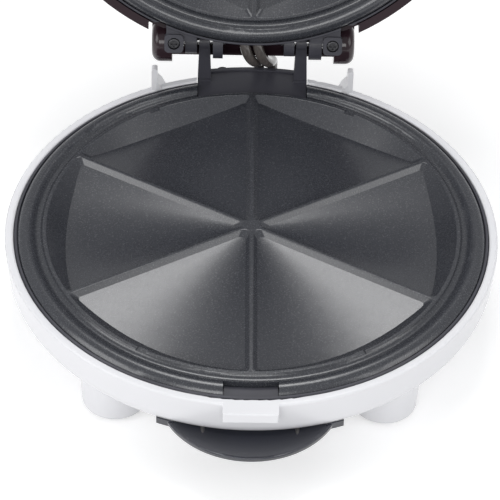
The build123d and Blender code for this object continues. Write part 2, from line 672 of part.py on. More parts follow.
def frame_ring(screwed_from_plate):
    """Seat under the plate's flange, lip round the plate's edge and screw lugs, in the base."""
    lip_z = RIM_Z - FRAME_LIP_DROP
    seat_under = FRAME_SEAT_Z - FRAME_SEAT_THICK
    ring = turned_polygon(
        (FRAME_SEAT_RADIUS, seat_under),
        (FRAME_OUTER, seat_under),
        (FRAME_OUTER, lip_z - 0.4),
        (FRAME_OUTER - 0.4, lip_z),
        (FRAME_INNER_LIP, lip_z),
        (FRAME_INNER_LIP, FRAME_SEAT_Z),
        (FRAME_SEAT_RADIUS, FRAME_SEAT_Z),
    )
    half = LUG_WIDTH / 2
    top = lug_z()
    inner = PLATE_SCREW_RADIUS - POST / 2
    for angle in PLATE_SCREW_ANGLES:
        lug = block(inner, FRAME_SEAT_RADIUS + 3, -half, half, top - LUG_THICK, top)
        riser = block(FRAME_SEAT_RADIUS, FRAME_SEAT_RADIUS + 3, -half, half, top - LUG_THICK, seat_under + 1)
        lug = lug + riser
        lug = lug - rod(PLATE_SCREW_RADIUS, 0, 0, RIM_Z, SCREW / 2 + SCREW_CLEARANCE)
        ring = ring + lug.rotate(Axis.Z, angle)
    inner = SHELL_SCREW_RADIUS - POST / 2
    for angle in SHELL_SCREW_ANGLES:
        lug = block(inner, FRAME_SEAT_RADIUS + 3, -half, half, seat_under, FRAME_SEAT_Z - 0.2)
        post = rod(SHELL_SCREW_RADIUS, 0, seat_under - POST_LENGTH, seat_under + 1, POST / 2)
        lug = lug + post
        if screwed_from_plate:
            lug = lug - rod(SHELL_SCREW_RADIUS, 0, FRAME_SEAT_Z - SCREW_HEAD_THICK - HEAD_SINK, RIM_Z,
                            SCREW_HEAD / 2 + HEAD_CLEARANCE)
            lug = lug - rod(SHELL_SCREW_RADIUS, 0, 0, RIM_Z, SCREW / 2 + SCREW_CLEARANCE)
        else:
            lug = lug - rod(SHELL_SCREW_RADIUS, 0, 0, seat_under, SCREW / 2 + SCREW_CLEARANCE)
        ring = ring + lug.rotate(Axis.Z, angle)
    return ring


def arm_profile():
    half = ARM_DEPTH / 2
    foot = polygon(
        (HINGE_Y - half, BRACKET_BOTTOM_Z + 10),
        (HINGE_Y + ARM_BACK, BRACKET_BOTTOM_Z + 10),
        (HINGE_Y + ARM_BACK, HINGE_Z - BARREL_RADIUS + BARREL_WALL + 2),
        (HINGE_Y + half, HINGE_Z - 2),
        (HINGE_Y, HINGE_Z),
        (HINGE_Y - half, HINGE_Z),
    )
    return foot + Pos(HINGE_Y, HINGE_Z) * Circle(ARM_EYE)


def hinge_arm(x):
    foot = ARM_FOOT_WIDTH / 2
    top = ARM_TOP_WIDTH / 2
    high = HINGE_Z + ARM_EYE + 1
    taper = extrude(Plane.XZ.offset(-HINGE_Y - 20) * polygon(
        (x - foot, BRACKET_BOTTOM_Z), (x + foot, BRACKET_BOTTOM_Z), (x + foot, BRACKET_Z),
        (x + top, high), (x - top, high), (x - foot, BRACKET_Z),
    ), 40)
    arm = side_profile(arm_profile(), x - foot, x + foot) & taper
    front = HINGE_Y - ARM_DEPTH / 2
    sill_z = BRACKET_Z + ARM_SILL_HIGH
    arm = arm + block(x - foot, x + foot, front - ARM_SILL, front + 1, BRACKET_Z - 1, sill_z)
    return arm - cross_rod(x - 10, x + 10, HINGE_Y, HINGE_Z, PIN / 2)


def lower_frame():
    ring = frame_ring(False)
    # the front notch's floor
    front = turned_polygon(
        (FRONT_NOTCH_RADIUS + 0.4, FRAME_SEAT_Z - 1.5), (FRAME_INNER_LIP + 0.5, FRAME_SEAT_Z - 1.5),
        (FRAME_INNER_LIP + 0.5, FRAME_SEAT_Z + 0.8), (FRONT_NOTCH_RADIUS + 0.4, FRAME_SEAT_Z + 0.8),
    ) & block(-FRONT_NOTCH_HALF + 0.4, FRONT_NOTCH_HALF - 0.4, -140, 0, 0, 60)
    ring = ring + front
    half = BRACKET_HALF
    inner = REAR_NOTCH_RADIUS + 0.5
    under = BRACKET_Z - BRACKET_THICK
    top_half = REAR_NOTCH_HALF - 0.4
    deck = turned_polygon(
        (inner, under), (BRACKET_RADIUS, under), (BRACKET_RADIUS, BRACKET_Z + BRACKET_LIP_RISE),
        (BRACKET_RADIUS - BRACKET_LIP, BRACKET_Z + BRACKET_LIP_RISE),
        (BRACKET_RADIUS - BRACKET_LIP, BRACKET_Z), (inner, BRACKET_Z),
    ) & block(-top_half, top_half, 0, 140, 0, 60)
    skirt = turned_polygon(
        (BRACKET_RADIUS - BRACKET_SKIRT, BRACKET_BOTTOM_Z), (BRACKET_RADIUS, BRACKET_BOTTOM_Z),
        (BRACKET_RADIUS, BRACKET_Z), (BRACKET_RADIUS - BRACKET_SKIRT, BRACKET_Z),
    ) & block(-top_half, top_half, 0, 140, 0, 60)
    for side in (-1, 1):
        x0, x1 = sorted((side * top_half, side * (top_half - BRACKET_SKIRT)))
        cheek = turned_polygon(
            (FRAME_INNER_LIP, BRACKET_BOTTOM_Z), (BRACKET_RADIUS, BRACKET_BOTTOM_Z),
            (BRACKET_RADIUS, BRACKET_Z), (FRAME_INNER_LIP, BRACKET_Z),
        ) & block(x0, x1, 0, 140, 0, 60)
        skirt = skirt + cheek
    ring = ring - block(-top_half, top_half, 100, 140, BRACKET_Z, 60)
    window = LEAD / 2 + 1.2
    gap = block(LEAD_HOLE_X[0] - window, LEAD_HOLE_X[1] + window, FRAME_SEAT_RADIUS - 2, FRAME_OUTER + 1,
                BRACKET_BOTTOM_Z, under - 0.2)
    frame = ring + deck + skirt - gap
    for x in (-ARM_X, ARM_X):
        frame = frame + hinge_arm(x)
    for x in LEAD_HOLE_X:
        hole = Pos(x, BRACKET_RADIUS, LEAD_HOLE_Z) * Rot(90, 0, 0) * Cylinder(
            LEAD / 2 + LEAD_HOLE_CLEARANCE, 12)
        frame = frame - hole
    frame = frame - Pos(GLAND_X, BRACKET_RADIUS, GLAND_Z) * Rot(90, 0, 0) * Cylinder(GLAND_NECK / 2, 14)
    return frame


def knuckle(x0, x1, radius):
    """A lid hinge knuckle with its web to the frame ring, lid shut."""
    eye = Pos(HINGE_Y, HINGE_Z) * Circle(radius)
    base_z = LID_RIM_Z + FRAME_SEAT_THICK
    web = polygon(
        (HINGE_Y - KNUCKLE_WEB, base_z), (HINGE_Y - KNUCKLE_WEB + 6, base_z),
        (HINGE_Y - radius * 0.6, HINGE_Z - radius * 0.8), (HINGE_Y, HINGE_Z),
        (HINGE_Y - KNUCKLE_WEB, HINGE_Z),
    )
    body = side_profile(eye + web, x0, x1)
    return body - cross_rod(x0 - 1, x1 + 1, HINGE_Y, HINGE_Z, PIN / 2 + PIN_CLEARANCE)


def upper_frame():
    """Drawn shut."""
    ring = mirrored_up(frame_ring(True))
    seat_top = 2 * MIRROR_Z - (FRAME_SEAT_Z - FRAME_SEAT_THICK)
    reach = BRACKET_RADIUS + 10
    # clear of the hinge arms
    for x in (-ARM_X, ARM_X):
        half = ARM_FOOT_WIDTH / 2 + ARM_SIDE_CLEARANCE
        ring = ring - block(x - half, x + half, HINGE_Y - ARM_DEPTH / 2 - ARM_FRONT_CLEARANCE, reach, 0, 200)
    # clear of the base's ears
    for side in (-1, 1):
        x0, x1 = sorted((side * (EAR_OUTER_X - EAR_THICK - EAR_FLARE), side * (EAR_OUTER_X + EAR_CLEARANCE)))
        top = RIM_Z + EAR_RISE + EAR_CLEARANCE
        ring = ring - block(x0, x1, EAR_FRONT_Y - FRAME_EAR_CLEARANCE, HINGE_Y, 0, top)
    for x0, x1, radius in KNUCKLES:
        ring = ring + knuckle(x0, x1, radius)
    bar = block(-LOBE_INNER_X + 0.6, LOBE_INNER_X - 0.6, HINGE_Y - KNUCKLE_WEB, HINGE_Y - KNUCKLE_WEB + 3,
                seat_top - 1, HINGE_Z)
    ring = ring + (bar - block(-LEAD_WINDOW, LEAD_WINDOW, 0, 200, seat_top, 200))
    for side in (-1, 1):
        x = side * LID_SCREW_X
        face_z = UPPER_RIM_Z + LID_SCREW_DROP
        half = LID_SCREW_BOSS / 2
        back_z = face_z + LID_SCREW_THICK
        pad = block(x - half, x + half, LID_SCREW_Y - half, LID_SCREW_Y + half, face_z, back_z)
        pad = fillet(pad.edges().filter_by(Axis.Z), 2.4)
        inner_x, outer_x = sorted((side * (ARM_X + ARM_FOOT_WIDTH / 2 + ARM_SIDE_CLEARANCE),
                                   side * (LID_SCREW_X + half - 1)))
        web = block(inner_x, outer_x, 112, LID_SCREW_Y - 1, face_z + 1.4, back_z)
        pad = pad + (web - rod(0, 0, 0, 120, FRAME_SEAT_RADIUS + 1))
        seat_z = face_z + SCREW_HEAD_THICK - HEAD_PROUD
        pad = pad - rod(x, LID_SCREW_Y, 0, 120, SCREW / 2 + SCREW_CLEARANCE)
        pad = pad - rod(x, LID_SCREW_Y, 0, seat_z, SCREW_HEAD / 2 + HEAD_CLEARANCE)
        x0, x1 = sorted((side * (LOBE_INNER_X - 0.3), side * BARREL_HALF))
        pad = pad - cross_rod(x0, x1, HINGE_Y, HINGE_Z, BARREL_RADIUS + 0.3)
        ring = ring + pad
    return ring


def lid_screw_seat_z():
    """Seat of the screws through the posts of the lid's frame, lid shut."""
    return 2 * MIRROR_Z - FRAME_SEAT_Z + SCREW_HEAD_THICK + HEAD_SINK


# ---------------------------------------------------------------- base shell
def under_line():
    """Section edges of the shell's outside, from the rim down and in to the middle."""
    top = SHELL_RIM_Z
    round_centre = (WALL_FOOT_RADIUS - UNDER_ROUND, WALL_FOOT_Z)
    slope = atan2(round_centre[1] - UNDER_ROUND - PAN_Z, round_centre[0] - PAN_RADIUS)
    # the round ends where it is square to the slope down to the pan
    end = (round_centre[0] + UNDER_ROUND * sin(slope), round_centre[1] - UNDER_ROUND * cos(slope))
    mid_turn = (pi / 2 - slope) / 2
    mid = (round_centre[0] + UNDER_ROUND * cos(mid_turn), round_centre[1] - UNDER_ROUND * sin(mid_turn))
    return top, end, mid


def shell_section(offset):
    """Solid section of the base's outside, moved in by an offset."""
    top, end, mid = under_line()
    round_centre = (WALL_FOOT_RADIUS - UNDER_ROUND, WALL_FOOT_Z)
    r = UNDER_ROUND - offset
    pull = r / UNDER_ROUND
    end = tuple(c + (e - c) * pull for c, e in zip(round_centre, end))
    mid = tuple(c + (m - c) * pull for c, m in zip(round_centre, mid))
    pan = (PAN_RADIUS, PAN_Z + offset)
    rim_out = SHELL_RADIUS - offset
    foot = (WALL_FOOT_RADIUS - offset, WALL_FOOT_Z)
    lift = top + (5 if offset else 0)
    return face_of(
        Line((0, lift), (rim_out, lift)),
        Line((rim_out, lift), foot),
        ThreePointArc(foot, mid, end),
        Line(end, pan),
        Line(pan, (0, PAN_Z + offset)),
        Line((0, PAN_Z + offset), (0, lift)),
    )


def rim_thickening(z0, z1):
    """What a shell's hollow leaves standing as its thick rim."""
    outside = SHELL_RADIUS + 1
    return turned_polygon((SHELL_INNER, z0), (outside, z0), (outside, z1), (SHELL_INNER, z1))


def foot_places():
    return [(sx * FOOT_X, sy * FOOT_Y) for sx in (-1, 1) for sy in (-1, 1)]


def ear(side):
    """Upright fin on the rim that covers the gap ahead of a hinge lobe."""
    keep = BARREL_RADIUS + EAR_CLEARANCE
    tip_z = RIM_Z + EAR_RISE
    profile = polygon(
        (EAR_FRONT_Y, WALL_FOOT_Z), (EAR_FRONT_Y + EAR_DEPTH, WALL_FOOT_Z),
        (EAR_FRONT_Y + EAR_DEPTH, SHELL_RIM_Z), (EAR_FRONT_Y + EAR_TIP_DEPTH, tip_z), (EAR_FRONT_Y, tip_z),
    ) - Pos(HINGE_Y, HINGE_Z) * Circle(keep)
    half = EAR_THICK / 2
    middle = EAR_OUTER_X - half
    fin_section = polygon(
        (middle - half - EAR_FLARE, SHELL_RIM_Z - 6), (middle + half, SHELL_RIM_Z - 6),
        (middle + half, tip_z - half), (middle - half, tip_z - half),
        (middle - half, SHELL_RIM_Z + 5), (middle - half - EAR_FLARE * 0.35, SHELL_RIM_Z + 1.2),
    ) + Pos(middle, tip_z - half) * Circle(half)
    fin = side_profile(profile, middle - 12, middle + 12) & extrude(Plane.XZ * fin_section, -200)
    if side < 0:
        fin = fin.mirror(Plane.YZ)
    return fin


def latch_catch():
    """Hooked tab at the front of the rim, flush with its top."""
    z = SHELL_RIM_Z
    root = -(SHELL_INNER + 1)
    tip = -CATCH_RADIUS
    section = polygon(
        (root, z), (tip + 0.6, z), (tip, z - 0.6),
        (tip, CATCH_LIP_Z), (tip + CATCH_LIP, CATCH_LIP_Z),
        (tip + CATCH_LIP, z - CATCH_THICK), (root, z - CATCH_THICK),
    )
    tab = side_profile(section, -CATCH_HALF, CATCH_HALF)
    front = tab.edges().filter_by(Axis.Z).group_by(Axis.Y)[0]
    return fillet(front, CATCH_ROUND)


def base_screw_seat_z():
    """The screw heads sit in pockets below the shell's bosses."""
    return FRAME_SEAT_Z - FRAME_SEAT_THICK - POST_LENGTH - 4.0


def lower_shell():
    outer = turned(shell_section(0))
    inner = turned(shell_section(SHELL_WALL)) - rim_thickening(SHELL_RIM_Z - RIM_FLANGE, SHELL_RIM_Z + 6)
    shell = outer - inner
    shell = fillet(shell.edges().group_by(Axis.Z)[-1], RIM_ROUND)
    for x, y in foot_places():
        stem = Pos(x, y, PAD_PROUD) * Cone(FOOT_BOTTOM_RADIUS, FOOT_TOP_RADIUS, WALL_FOOT_Z - PAD_PROUD,
                                           align=(Align.CENTER, Align.CENTER, Align.MIN))
        bottom = stem.edges().group_by(Axis.Z)[0]
        stem = fillet(bottom, FOOT_ROUND)
        shell = shell + (stem - inner)
        shell = shell - rod(x, y, PAD_THICK + FOOT_WALL, FLOOR_Z + 1, FOOT_BOTTOM_RADIUS - FOOT_WALL)
        shell = shell - rod(x, y, 0, PAD_THICK, PAD_RADIUS)
    shell = shell + latch_catch()
    for side in (-1, 1):
        shell = shell + (ear(side) - inner)
    # gap for the rear bracket
    shell = shell - block(-RIM_END_HALF, RIM_END_HALF, 100, 150, BRACKET_BOTTOM_Z - 0.2, 60)
    # bosses for the screws from below
    seat = base_screw_seat_z()
    post_end = FRAME_SEAT_Z - FRAME_SEAT_THICK - POST_LENGTH
    for angle in SHELL_SCREW_ANGLES:
        x, y = around(SHELL_SCREW_RADIUS, angle)
        boss = rod(x, y, PAN_Z, post_end - 0.2, POST / 2 + 1.2) & outer
        shell = shell + boss
        shell = shell - rod(x, y, 0, seat, SCREW_HEAD / 2 + 0.4)
        shell = shell - rod(x, y, 0, 60, SCREW / 2 + SCREW_CLEARANCE)
    shell = shell - rod(BLOCK_X + BLOCK_LONG / 2 - 4, BLOCK_Y, PAN_Z + 0.6, 60, SCREW / 2 + SCREW_CLEARANCE)
    for x in (-HANDLE_SCREW_X, HANDLE_SCREW_X):
        shell = shell + (handle_boss(x) & outer)
        shell = shell - handle_screw_hole(x)
    return shell


def handle_boss(x):
    """Boss inside a shell that takes a handle screw."""
    long = SHELL_RADIUS + HANDLE_SCREW_Y
    middle = Pos(x, HANDLE_SCREW_Y - long / 2, HANDLE_SCREW_Z)
    return middle * Rot(90, 0, 0) * Cylinder(HANDLE_BOSS / 2, long)


def handle_screw_hole(x):
    reach = HANDLE_SCREW_LENGTH + 1
    return Pos(x, HANDLE_SCREW_Y - reach / 2 + 1, HANDLE_SCREW_Z) * Rot(90, 0, 0) * Cylinder(
        SCREW / 2 + SCREW_CLEARANCE, reach + 2)


def lower_handle_screws():
    return Compound(children=[
        Pos(x, HANDLE_SCREW_Y, HANDLE_SCREW_Z) * Rot(90, 0, 0) * screw(HANDLE_SCREW_LENGTH)
        for x in (-HANDLE_SCREW_X, HANDLE_SCREW_X)
    ])


def foot_pads():
    pads = []
    for x, y in foot_places():
        pad = rod(x, y, 0, PAD_THICK, PAD_RADIUS - 0.1)
        pads.append(fillet(pad.edges().group_by(Axis.Z)[0], 0.8))
    return Compound(children=pads)


# ---------------------------------------------------------------- handles
def half_moon(flange_inset):
    """Handle blank in the base: dished half disc with a thin raised lip, and a flange that hugs the shell."""
    top = HANDLE_TOP_Z
    bottom = top - HANDLE_THICK
    disc = turned_polygon(
        (0, bottom), (HANDLE_RADIUS - HANDLE_UNDERCUT, bottom), (HANDLE_RADIUS, top - HANDLE_EDGE),
        (HANDLE_RADIUS, top), (0, top),
    )
    disc = fillet(disc.edges().group_by(Axis.Z)[0], HANDLE_ROUND)
    disc = fillet(disc.edges().group_by(Axis.Z)[-1], HANDLE_LIP * 0.4)
    inner = HANDLE_RADIUS - HANDLE_LIP
    low = top - HANDLE_DISH
    dish = turned(face_of(
        ThreePointArc((0, low), (inner * 0.75, low + HANDLE_DISH * 0.3), (inner, top)),
        Line((inner, top), (inner, top + 5)),
        Line((inner, top + 5), (0, top + 5)),
        Line((0, top + 5), (0, low)),
    ))
    root = HANDLE_ROOT - SHELL_RADIUS
    half = HANDLE_FLANGE_HALF
    disc = (Pos(0, HANDLE_CENTRE_Y, 0) * (disc - dish)) & block(-half, half, -200, root, 0, RIM_Z)
    flange_radius = SHELL_RADIUS - flange_inset
    low = top - HANDLE_FLANGE_HIGH
    flange = turned_polygon(
        (SHELL_RADIUS - HANDLE_ROOT, low), (flange_radius - 1, low), (flange_radius, low + 1),
        (flange_radius, top + 0.4), (SHELL_RADIUS - HANDLE_ROOT, top + 0.4),
    ) & block(-half, half, -200, root, 0, RIM_Z)
    flange = flange - Pos(0, HANDLE_CENTRE_Y, 0) * Cylinder(inner - 1, 200)
    return disc + flange


def lower_handle():
    handle = half_moon(LOWER_FLANGE_INSET) - turned(shell_section(-HANDLE_GAP))
    for x in (-HANDLE_SCREW_X, HANDLE_SCREW_X):
        handle = handle - handle_screw_hole(x)
    return handle


def upper_handle():
    """Drawn shut."""
    handle = mirrored_up(half_moon(UPPER_FLANGE_INSET)) - turned(lid_section(-HANDLE_GAP))
    for x in (-HANDLE_SCREW_X, HANDLE_SCREW_X):
        handle = handle - mirrored_up(handle_screw_hole(x))
    return handle


# ---------------------------------------------------------------- lid shell
def lid_section(offset):
    """Solid section of the lid's outside, moved in by an offset, lid shut."""
    low = LID_RIM_Z - (5 if offset > 0 else 0)
    wall = (WALL_FOOT_RADIUS - offset, LID_WALL_TOP_Z)
    centre_radius = WALL_FOOT_RADIUS - LID_ROUND
    round_radius = LID_ROUND - offset
    shoulder = (centre_radius, LID_WALL_TOP_Z + round_radius)
    mid = (centre_radius + round_radius * sqrt(0.5), LID_WALL_TOP_Z + round_radius * sqrt(0.5))
    crown_z = shoulder[1] + LID_CROWN
    return face_of(
        Line((0, low), (SHELL_RADIUS - offset, low)),
        Line((SHELL_RADIUS - offset, low), wall),
        ThreePointArc(wall, mid, shoulder),
        Spline(shoulder, (0, crown_z), tangents=[(-1, 2 * LID_CROWN / centre_radius), (-1, 0)]),
        Line((0, crown_z), (0, low)),
    )


def cover_profile(radius, front):
    """Side view of the hinge cover: a barrel about the axis, running forward into the lid."""
    reach = polygon((HINGE_Y - front, HINGE_Z), (HINGE_Y, HINGE_Z),
                    (HINGE_Y, HINGE_Z + radius), (HINGE_Y - front, HINGE_Z + radius))
    return reach + Pos(HINGE_Y, HINGE_Z) * Circle(radius)


def lid_top_z():
    return LID_WALL_TOP_Z + LID_ROUND + LID_CROWN


def upper_shell():
    """Drawn shut."""
    dome = turned(lid_section(0))
    cover = side_profile(cover_profile(BARREL_RADIUS, COVER_FRONT), -BARREL_HALF, BARREL_HALF)
    ends = [e for e in cover.edges() if abs(abs(e.center().X) - BARREL_HALF) < 0.01
            and e.center().Y > HINGE_Y - COVER_FRONT + 1 and e.geom_type == GeomType.CIRCLE]
    tops = [e for e in cover.edges() if abs(abs(e.center().X) - BARREL_HALF) < 0.01
            and abs(e.center().Z - HINGE_Z - BARREL_RADIUS) < 0.01]
    cover = fillet(ends + tops, LOBE_ROUND)
    outer = dome + cover
    inner_radius = BARREL_RADIUS - BARREL_WALL
    room_half = BARREL_HALF - LID_WALL
    room = side_profile(cover_profile(inner_radius, COVER_FRONT + 6), -room_half, room_half)
    cavity = turned(lid_section(LID_WALL)) - rim_thickening(LID_RIM_Z - 6, LID_RIM_Z + RIM_FLANGE)
    shell = outer - cavity - room
    # inner ends of the two lobes
    for side in (-1, 1):
        x0, x1 = sorted((side * LOBE_INNER_X, side * (LOBE_INNER_X + BARREL_WALL)))
        wall = side_profile(Pos(HINGE_Y, HINGE_Z) * Circle(BARREL_RADIUS), x0, x1)
        shell = shell + wall
    # open below and behind between the lobes
    reach = 30.0
    rise = reach * tan(radians(COVER_END_ANGLE))
    opening = polygon(
        (HINGE_Y - reach, LID_RIM_Z - 1), (HINGE_Y + reach, LID_RIM_Z - 1),
        (HINGE_Y + reach, HINGE_Z + rise), (HINGE_Y, HINGE_Z), (HINGE_Y - reach, HINGE_Z),
    )
    shell = shell - side_profile(opening, -LOBE_INNER_X, LOBE_INNER_X)
    # notch in the wall for the base's ears
    notch_half = EAR_OUTER_X + EAR_CLEARANCE
    notch_top = RIM_Z + EAR_RISE + EAR_CLEARANCE
    notch_front = EAR_FRONT_Y - EAR_CLEARANCE
    notch = block(-notch_half, notch_half, notch_front, HINGE_Y + 20, LID_RIM_Z - 1, notch_top)
    barrel = cross_rod(-BARREL_HALF, BARREL_HALF, HINGE_Y, HINGE_Z, BARREL_RADIUS)
    shell = shell - (notch - barrel)
    # bosses for the two screws beside the lobes
    for side in (-1, 1):
        x = side * LID_SCREW_X
        foot = UPPER_RIM_Z + LID_SCREW_DROP + LID_SCREW_THICK + 0.1
        boss = rod(x, LID_SCREW_Y, foot, HINGE_Z + inner_radius, LID_BOSS / 2)
        hole = rod(x, LID_SCREW_Y, foot - 10, foot + 12, SCREW / 2 + SCREW_CLEARANCE)
        shell = (shell - hole) + (boss - hole)
    inner_face = turned(lid_section(LID_WALL * 0.5))
    for x, y in [around(SHELL_SCREW_RADIUS, angle) for angle in SHELL_SCREW_ANGLES]:
        post_z = 2 * MIRROR_Z - (FRAME_SEAT_Z - FRAME_SEAT_THICK - POST_LENGTH) + 0.1
        boss = rod(x, y, post_z, lid_top_z(), POST / 2) & inner_face
        shell = shell + boss
        shell = shell - rod(x, y, 0, post_z + LID_SCREW_GRIP + 0.3, SCREW / 2 + SCREW_CLEARANCE)
    for x in (-HOLDER_SCREW_X, HOLDER_SCREW_X):
        post = rod(x, -LAMP_Y, HOLDER_TOP_Z + 0.1, lid_top_z(), HOLDER_POST / 2) & inner_face
        shell = shell + post
        shell = shell - rod(x, -LAMP_Y, 0, HOLDER_TOP_Z + 2.4, SCREW / 2 + SCREW_CLEARANCE)
    for x in (-HANDLE_SCREW_X, HANDLE_SCREW_X):
        shell = shell + (mirrored_up(handle_boss(x)) & inner_face)
        shell = shell - mirrored_up(handle_screw_hole(x))
    for x in (-LAMP_X, LAMP_X):
        shell = shell - rod(x, -LAMP_Y, HINGE_Z, lid_top_z() + 5, LAMP_RADIUS + LAMP_CLEARANCE)
    shell = shell + latch_lugs()
    return shell


# ---------------------------------------------------------------- latch
def latch_lug_profile():
    eye = Pos(LATCH_PIN_Y, LATCH_PIN_Z) * Circle(LATCH_EYE)
    root = -(SHELL_RADIUS - 3)
    web = polygon((LATCH_PIN_Y, LATCH_PIN_Z - LATCH_EYE), (root, LATCH_PIN_Z - LATCH_EYE),
                  (root, LATCH_PIN_Z + LATCH_EYE), (LATCH_PIN_Y, LATCH_PIN_Z + LATCH_EYE))
    return eye + web


def latch_lugs():
    """Two lugs on the lid's front wall that hold the latch pin."""
    inner = LATCH_HALF + LATCH_SIDE_CLEARANCE
    outer = inner + LATCH_LUG_THICK
    lugs = []
    for side in (-1, 1):
        x0, x1 = sorted((side * inner, side * outer))
        lug = side_profile(latch_lug_profile(), x0, x1)
        lug = lug - turned(lid_section(LID_WALL * 0.6))
        lugs.append(lug - cross_rod(x0 - 1, x1 + 1, LATCH_PIN_Y, LATCH_PIN_Z, LATCH_PIN / 2))
    return joined(lugs)


def latch_pin():
    """Drawn shut."""
    half = LATCH_HALF + LATCH_SIDE_CLEARANCE + LATCH_LUG_THICK
    return cross_rod(-half, half, LATCH_PIN_Y, LATCH_PIN_Z, LATCH_PIN / 2)


def latch_clip():
    """Drawn latched on the shut lid: an eye, a plate, a barb under the catch and a finger lip."""
    inner_y = LATCH_PIN_Y - LATCH_EYE + LATCH_THICK
    outer_y = LATCH_PIN_Y - LATCH_EYE
    barb_top = CATCH_LIP_Z - LATCH_CATCH_CLEARANCE
    barb_bottom = barb_top - LATCH_BARB
    barb_y = -CATCH_RADIUS + LATCH_BARB_REACH
    section = polygon(
        (inner_y, LATCH_PIN_Z), (inner_y, barb_top), (barb_y, barb_top), (barb_y + 0.6, barb_top - 1.0),
        (inner_y - 0.6, barb_bottom), (outer_y - LATCH_FINGER, barb_bottom - 2.4),
        (outer_y - LATCH_FINGER - 0.6, barb_bottom - 0.2), (outer_y, barb_bottom + 2.6),
        (outer_y, LATCH_PIN_Z),
    ) + Pos(LATCH_PIN_Y, LATCH_PIN_Z) * Circle(LATCH_EYE)
    clip = side_profile(section, -LATCH_HALF, LATCH_HALF)
    top_z = LATCH_PIN_Z + LATCH_EYE
    bottom_z = barb_bottom - 2.4
    front = Pos(0, (top_z + bottom_z) / 2) * RectangleRounded(2 * LATCH_HALF, top_z - bottom_z, LATCH_CORNER)
    clip = clip & extrude(Plane.XZ * front, 200)
    return clip - cross_rod(-20, 20, LATCH_PIN_Y, LATCH_PIN_Z, LATCH_PIN / 2 + PIN_CLEARANCE)


def released(shape):
    """Swings the latched clip out about its pin."""
    return shape.rotate(Axis((0, LATCH_PIN_Y, LATCH_PIN_Z), (1, 0, 0)), -LATCH_SWING)


# ---------------------------------------------------------------- hinge pins and leads
def hinge_pins():
    pins = []
    for side in (-1, 1):
        x0, x1 = sorted((side * PIN_INNER_X, side * PIN_OUTER_X))
        pin = cross_rod(x0, x1, HINGE_Y, HINGE_Z, PIN / 2)
        head_x = side * PIN_OUTER_X
        h0, h1 = sorted((head_x, head_x + side * PIN_HEAD_THICK))
        pins.append(pin + cross_rod(h0, h1, HINGE_Y, HINGE_Z, PIN_HEAD / 2))
    return Compound(children=pins)


def opened_point(x, y, z):
    """Where a point drawn on the shut lid is at rest."""
    turn = radians(-OPEN_ANGLE)
    ahead = y - HINGE_Y
    above = z - HINGE_Z
    opened_y = HINGE_Y + ahead * cos(turn) - above * sin(turn)
    opened_z = HINGE_Z + ahead * sin(turn) + above * cos(turn)
    return x, opened_y, opened_z


def sleeved_lead(in_base, in_lid):
    """From the terminal block, out of the bracket, over the hinge and on to the lid's element."""
    return tube_along(list(in_base) + [opened_point(*point) for point in in_lid], LEAD)


def cord_gland():
    """Flanged bush in the bracket's skirt."""
    outside = sqrt(BRACKET_RADIUS ** 2 - (abs(GLAND_X) - GLAND_OUTER / 2) ** 2) + 0.1
    inside = sqrt((BRACKET_RADIUS - BRACKET_SKIRT) ** 2 - (abs(GLAND_X) + GLAND_OUTER / 2) ** 2) - 0.1
    bush = gland_disc(inside - GLAND_FLANGE, outside + GLAND_PROUD, GLAND_NECK / 2 - 0.05)
    bush = bush + gland_disc(outside, outside + GLAND_FLANGE, GLAND_OUTER / 2)
    bush = bush + gland_disc(inside - GLAND_FLANGE, inside, GLAND_OUTER / 2)
    return bush - gland_disc(inside - 20, outside + 40, GLAND_BORE / 2)


def gland_disc(y0, y1, radius):
    return Pos(GLAND_X, (y0 + y1) / 2, GLAND_Z) * Rot(90, 0, 0) * Cylinder(radius, y1 - y0)


# ---------------------------------------------------------------- screws by place
def lower_plate_screws():
    seat = lug_z() - LUG_THICK
    places = [around(PLATE_SCREW_RADIUS, angle) for angle in PLATE_SCREW_ANGLES]
    length = LUG_THICK + PLATE_BOSS_LENGTH + 1.0
    return Compound(children=[Pos(x, y, seat) * screw(length) for x, y in places])


def base_screws():
    seat = base_screw_seat_z()
    places = [around(SHELL_SCREW_RADIUS, angle) for angle in SHELL_SCREW_ANGLES]
    return Compound(children=[Pos(x, y, seat) * screw(12.0) for x, y in places])


def lid_screws():
    """Drawn shut: two beside the lobes and four through the posts of the frame."""
    seat = UPPER_RIM_Z + LID_SCREW_DROP + SCREW_HEAD_THICK - HEAD_PROUD
    rear = [Pos(side * LID_SCREW_X, LID_SCREW_Y, seat) * screw(12.0) for side in (-1, 1)]
    seat = lid_screw_seat_z()
    post_end = 2 * MIRROR_Z - FRAME_SEAT_Z + FRAME_SEAT_THICK + POST_LENGTH
    places = [around(SHELL_SCREW_RADIUS, angle) for angle in SHELL_SCREW_ANGLES]
    inner = [Pos(x, y, seat) * screw(post_end - seat + LID_SCREW_GRIP) for x, y in places]
    return Compound(children=rear + inner)


# ---------------------------------------------------------------- controls and wiring
def terminal_block():
    half_x = BLOCK_LONG / 2
    half_y = BLOCK_WIDE / 2
    top = FLOOR_Z + BLOCK_HIGH
    low = block(BLOCK_X - half_x, BLOCK_X + half_x, BLOCK_Y - half_y, BLOCK_Y + half_y,
                FLOOR_Z + 0.05, top - BLOCK_STEP)
    high = block(BLOCK_X - half_x, BLOCK_X + half_x, BLOCK_Y - half_y / 2, BLOCK_Y + half_y / 2,
                 FLOOR_Z + 0.05, top)
    body = low + high
    for x in BLOCK_CLAMP_X:
        body = body - rod(x, BLOCK_Y, top - 5, top + 1, 2.0)
    return body - rod(BLOCK_X + half_x - 4, BLOCK_Y, 0, 60, SCREW / 2 + SCREW_CLEARANCE)


def block_screw():
    """From above into the floor."""
    x = BLOCK_X + BLOCK_LONG / 2 - 4
    return Pos(x, BLOCK_Y, FLOOR_Z + BLOCK_HIGH) * screw(BLOCK_HIGH + SHELL_WALL - 0.8, tip_up=False)


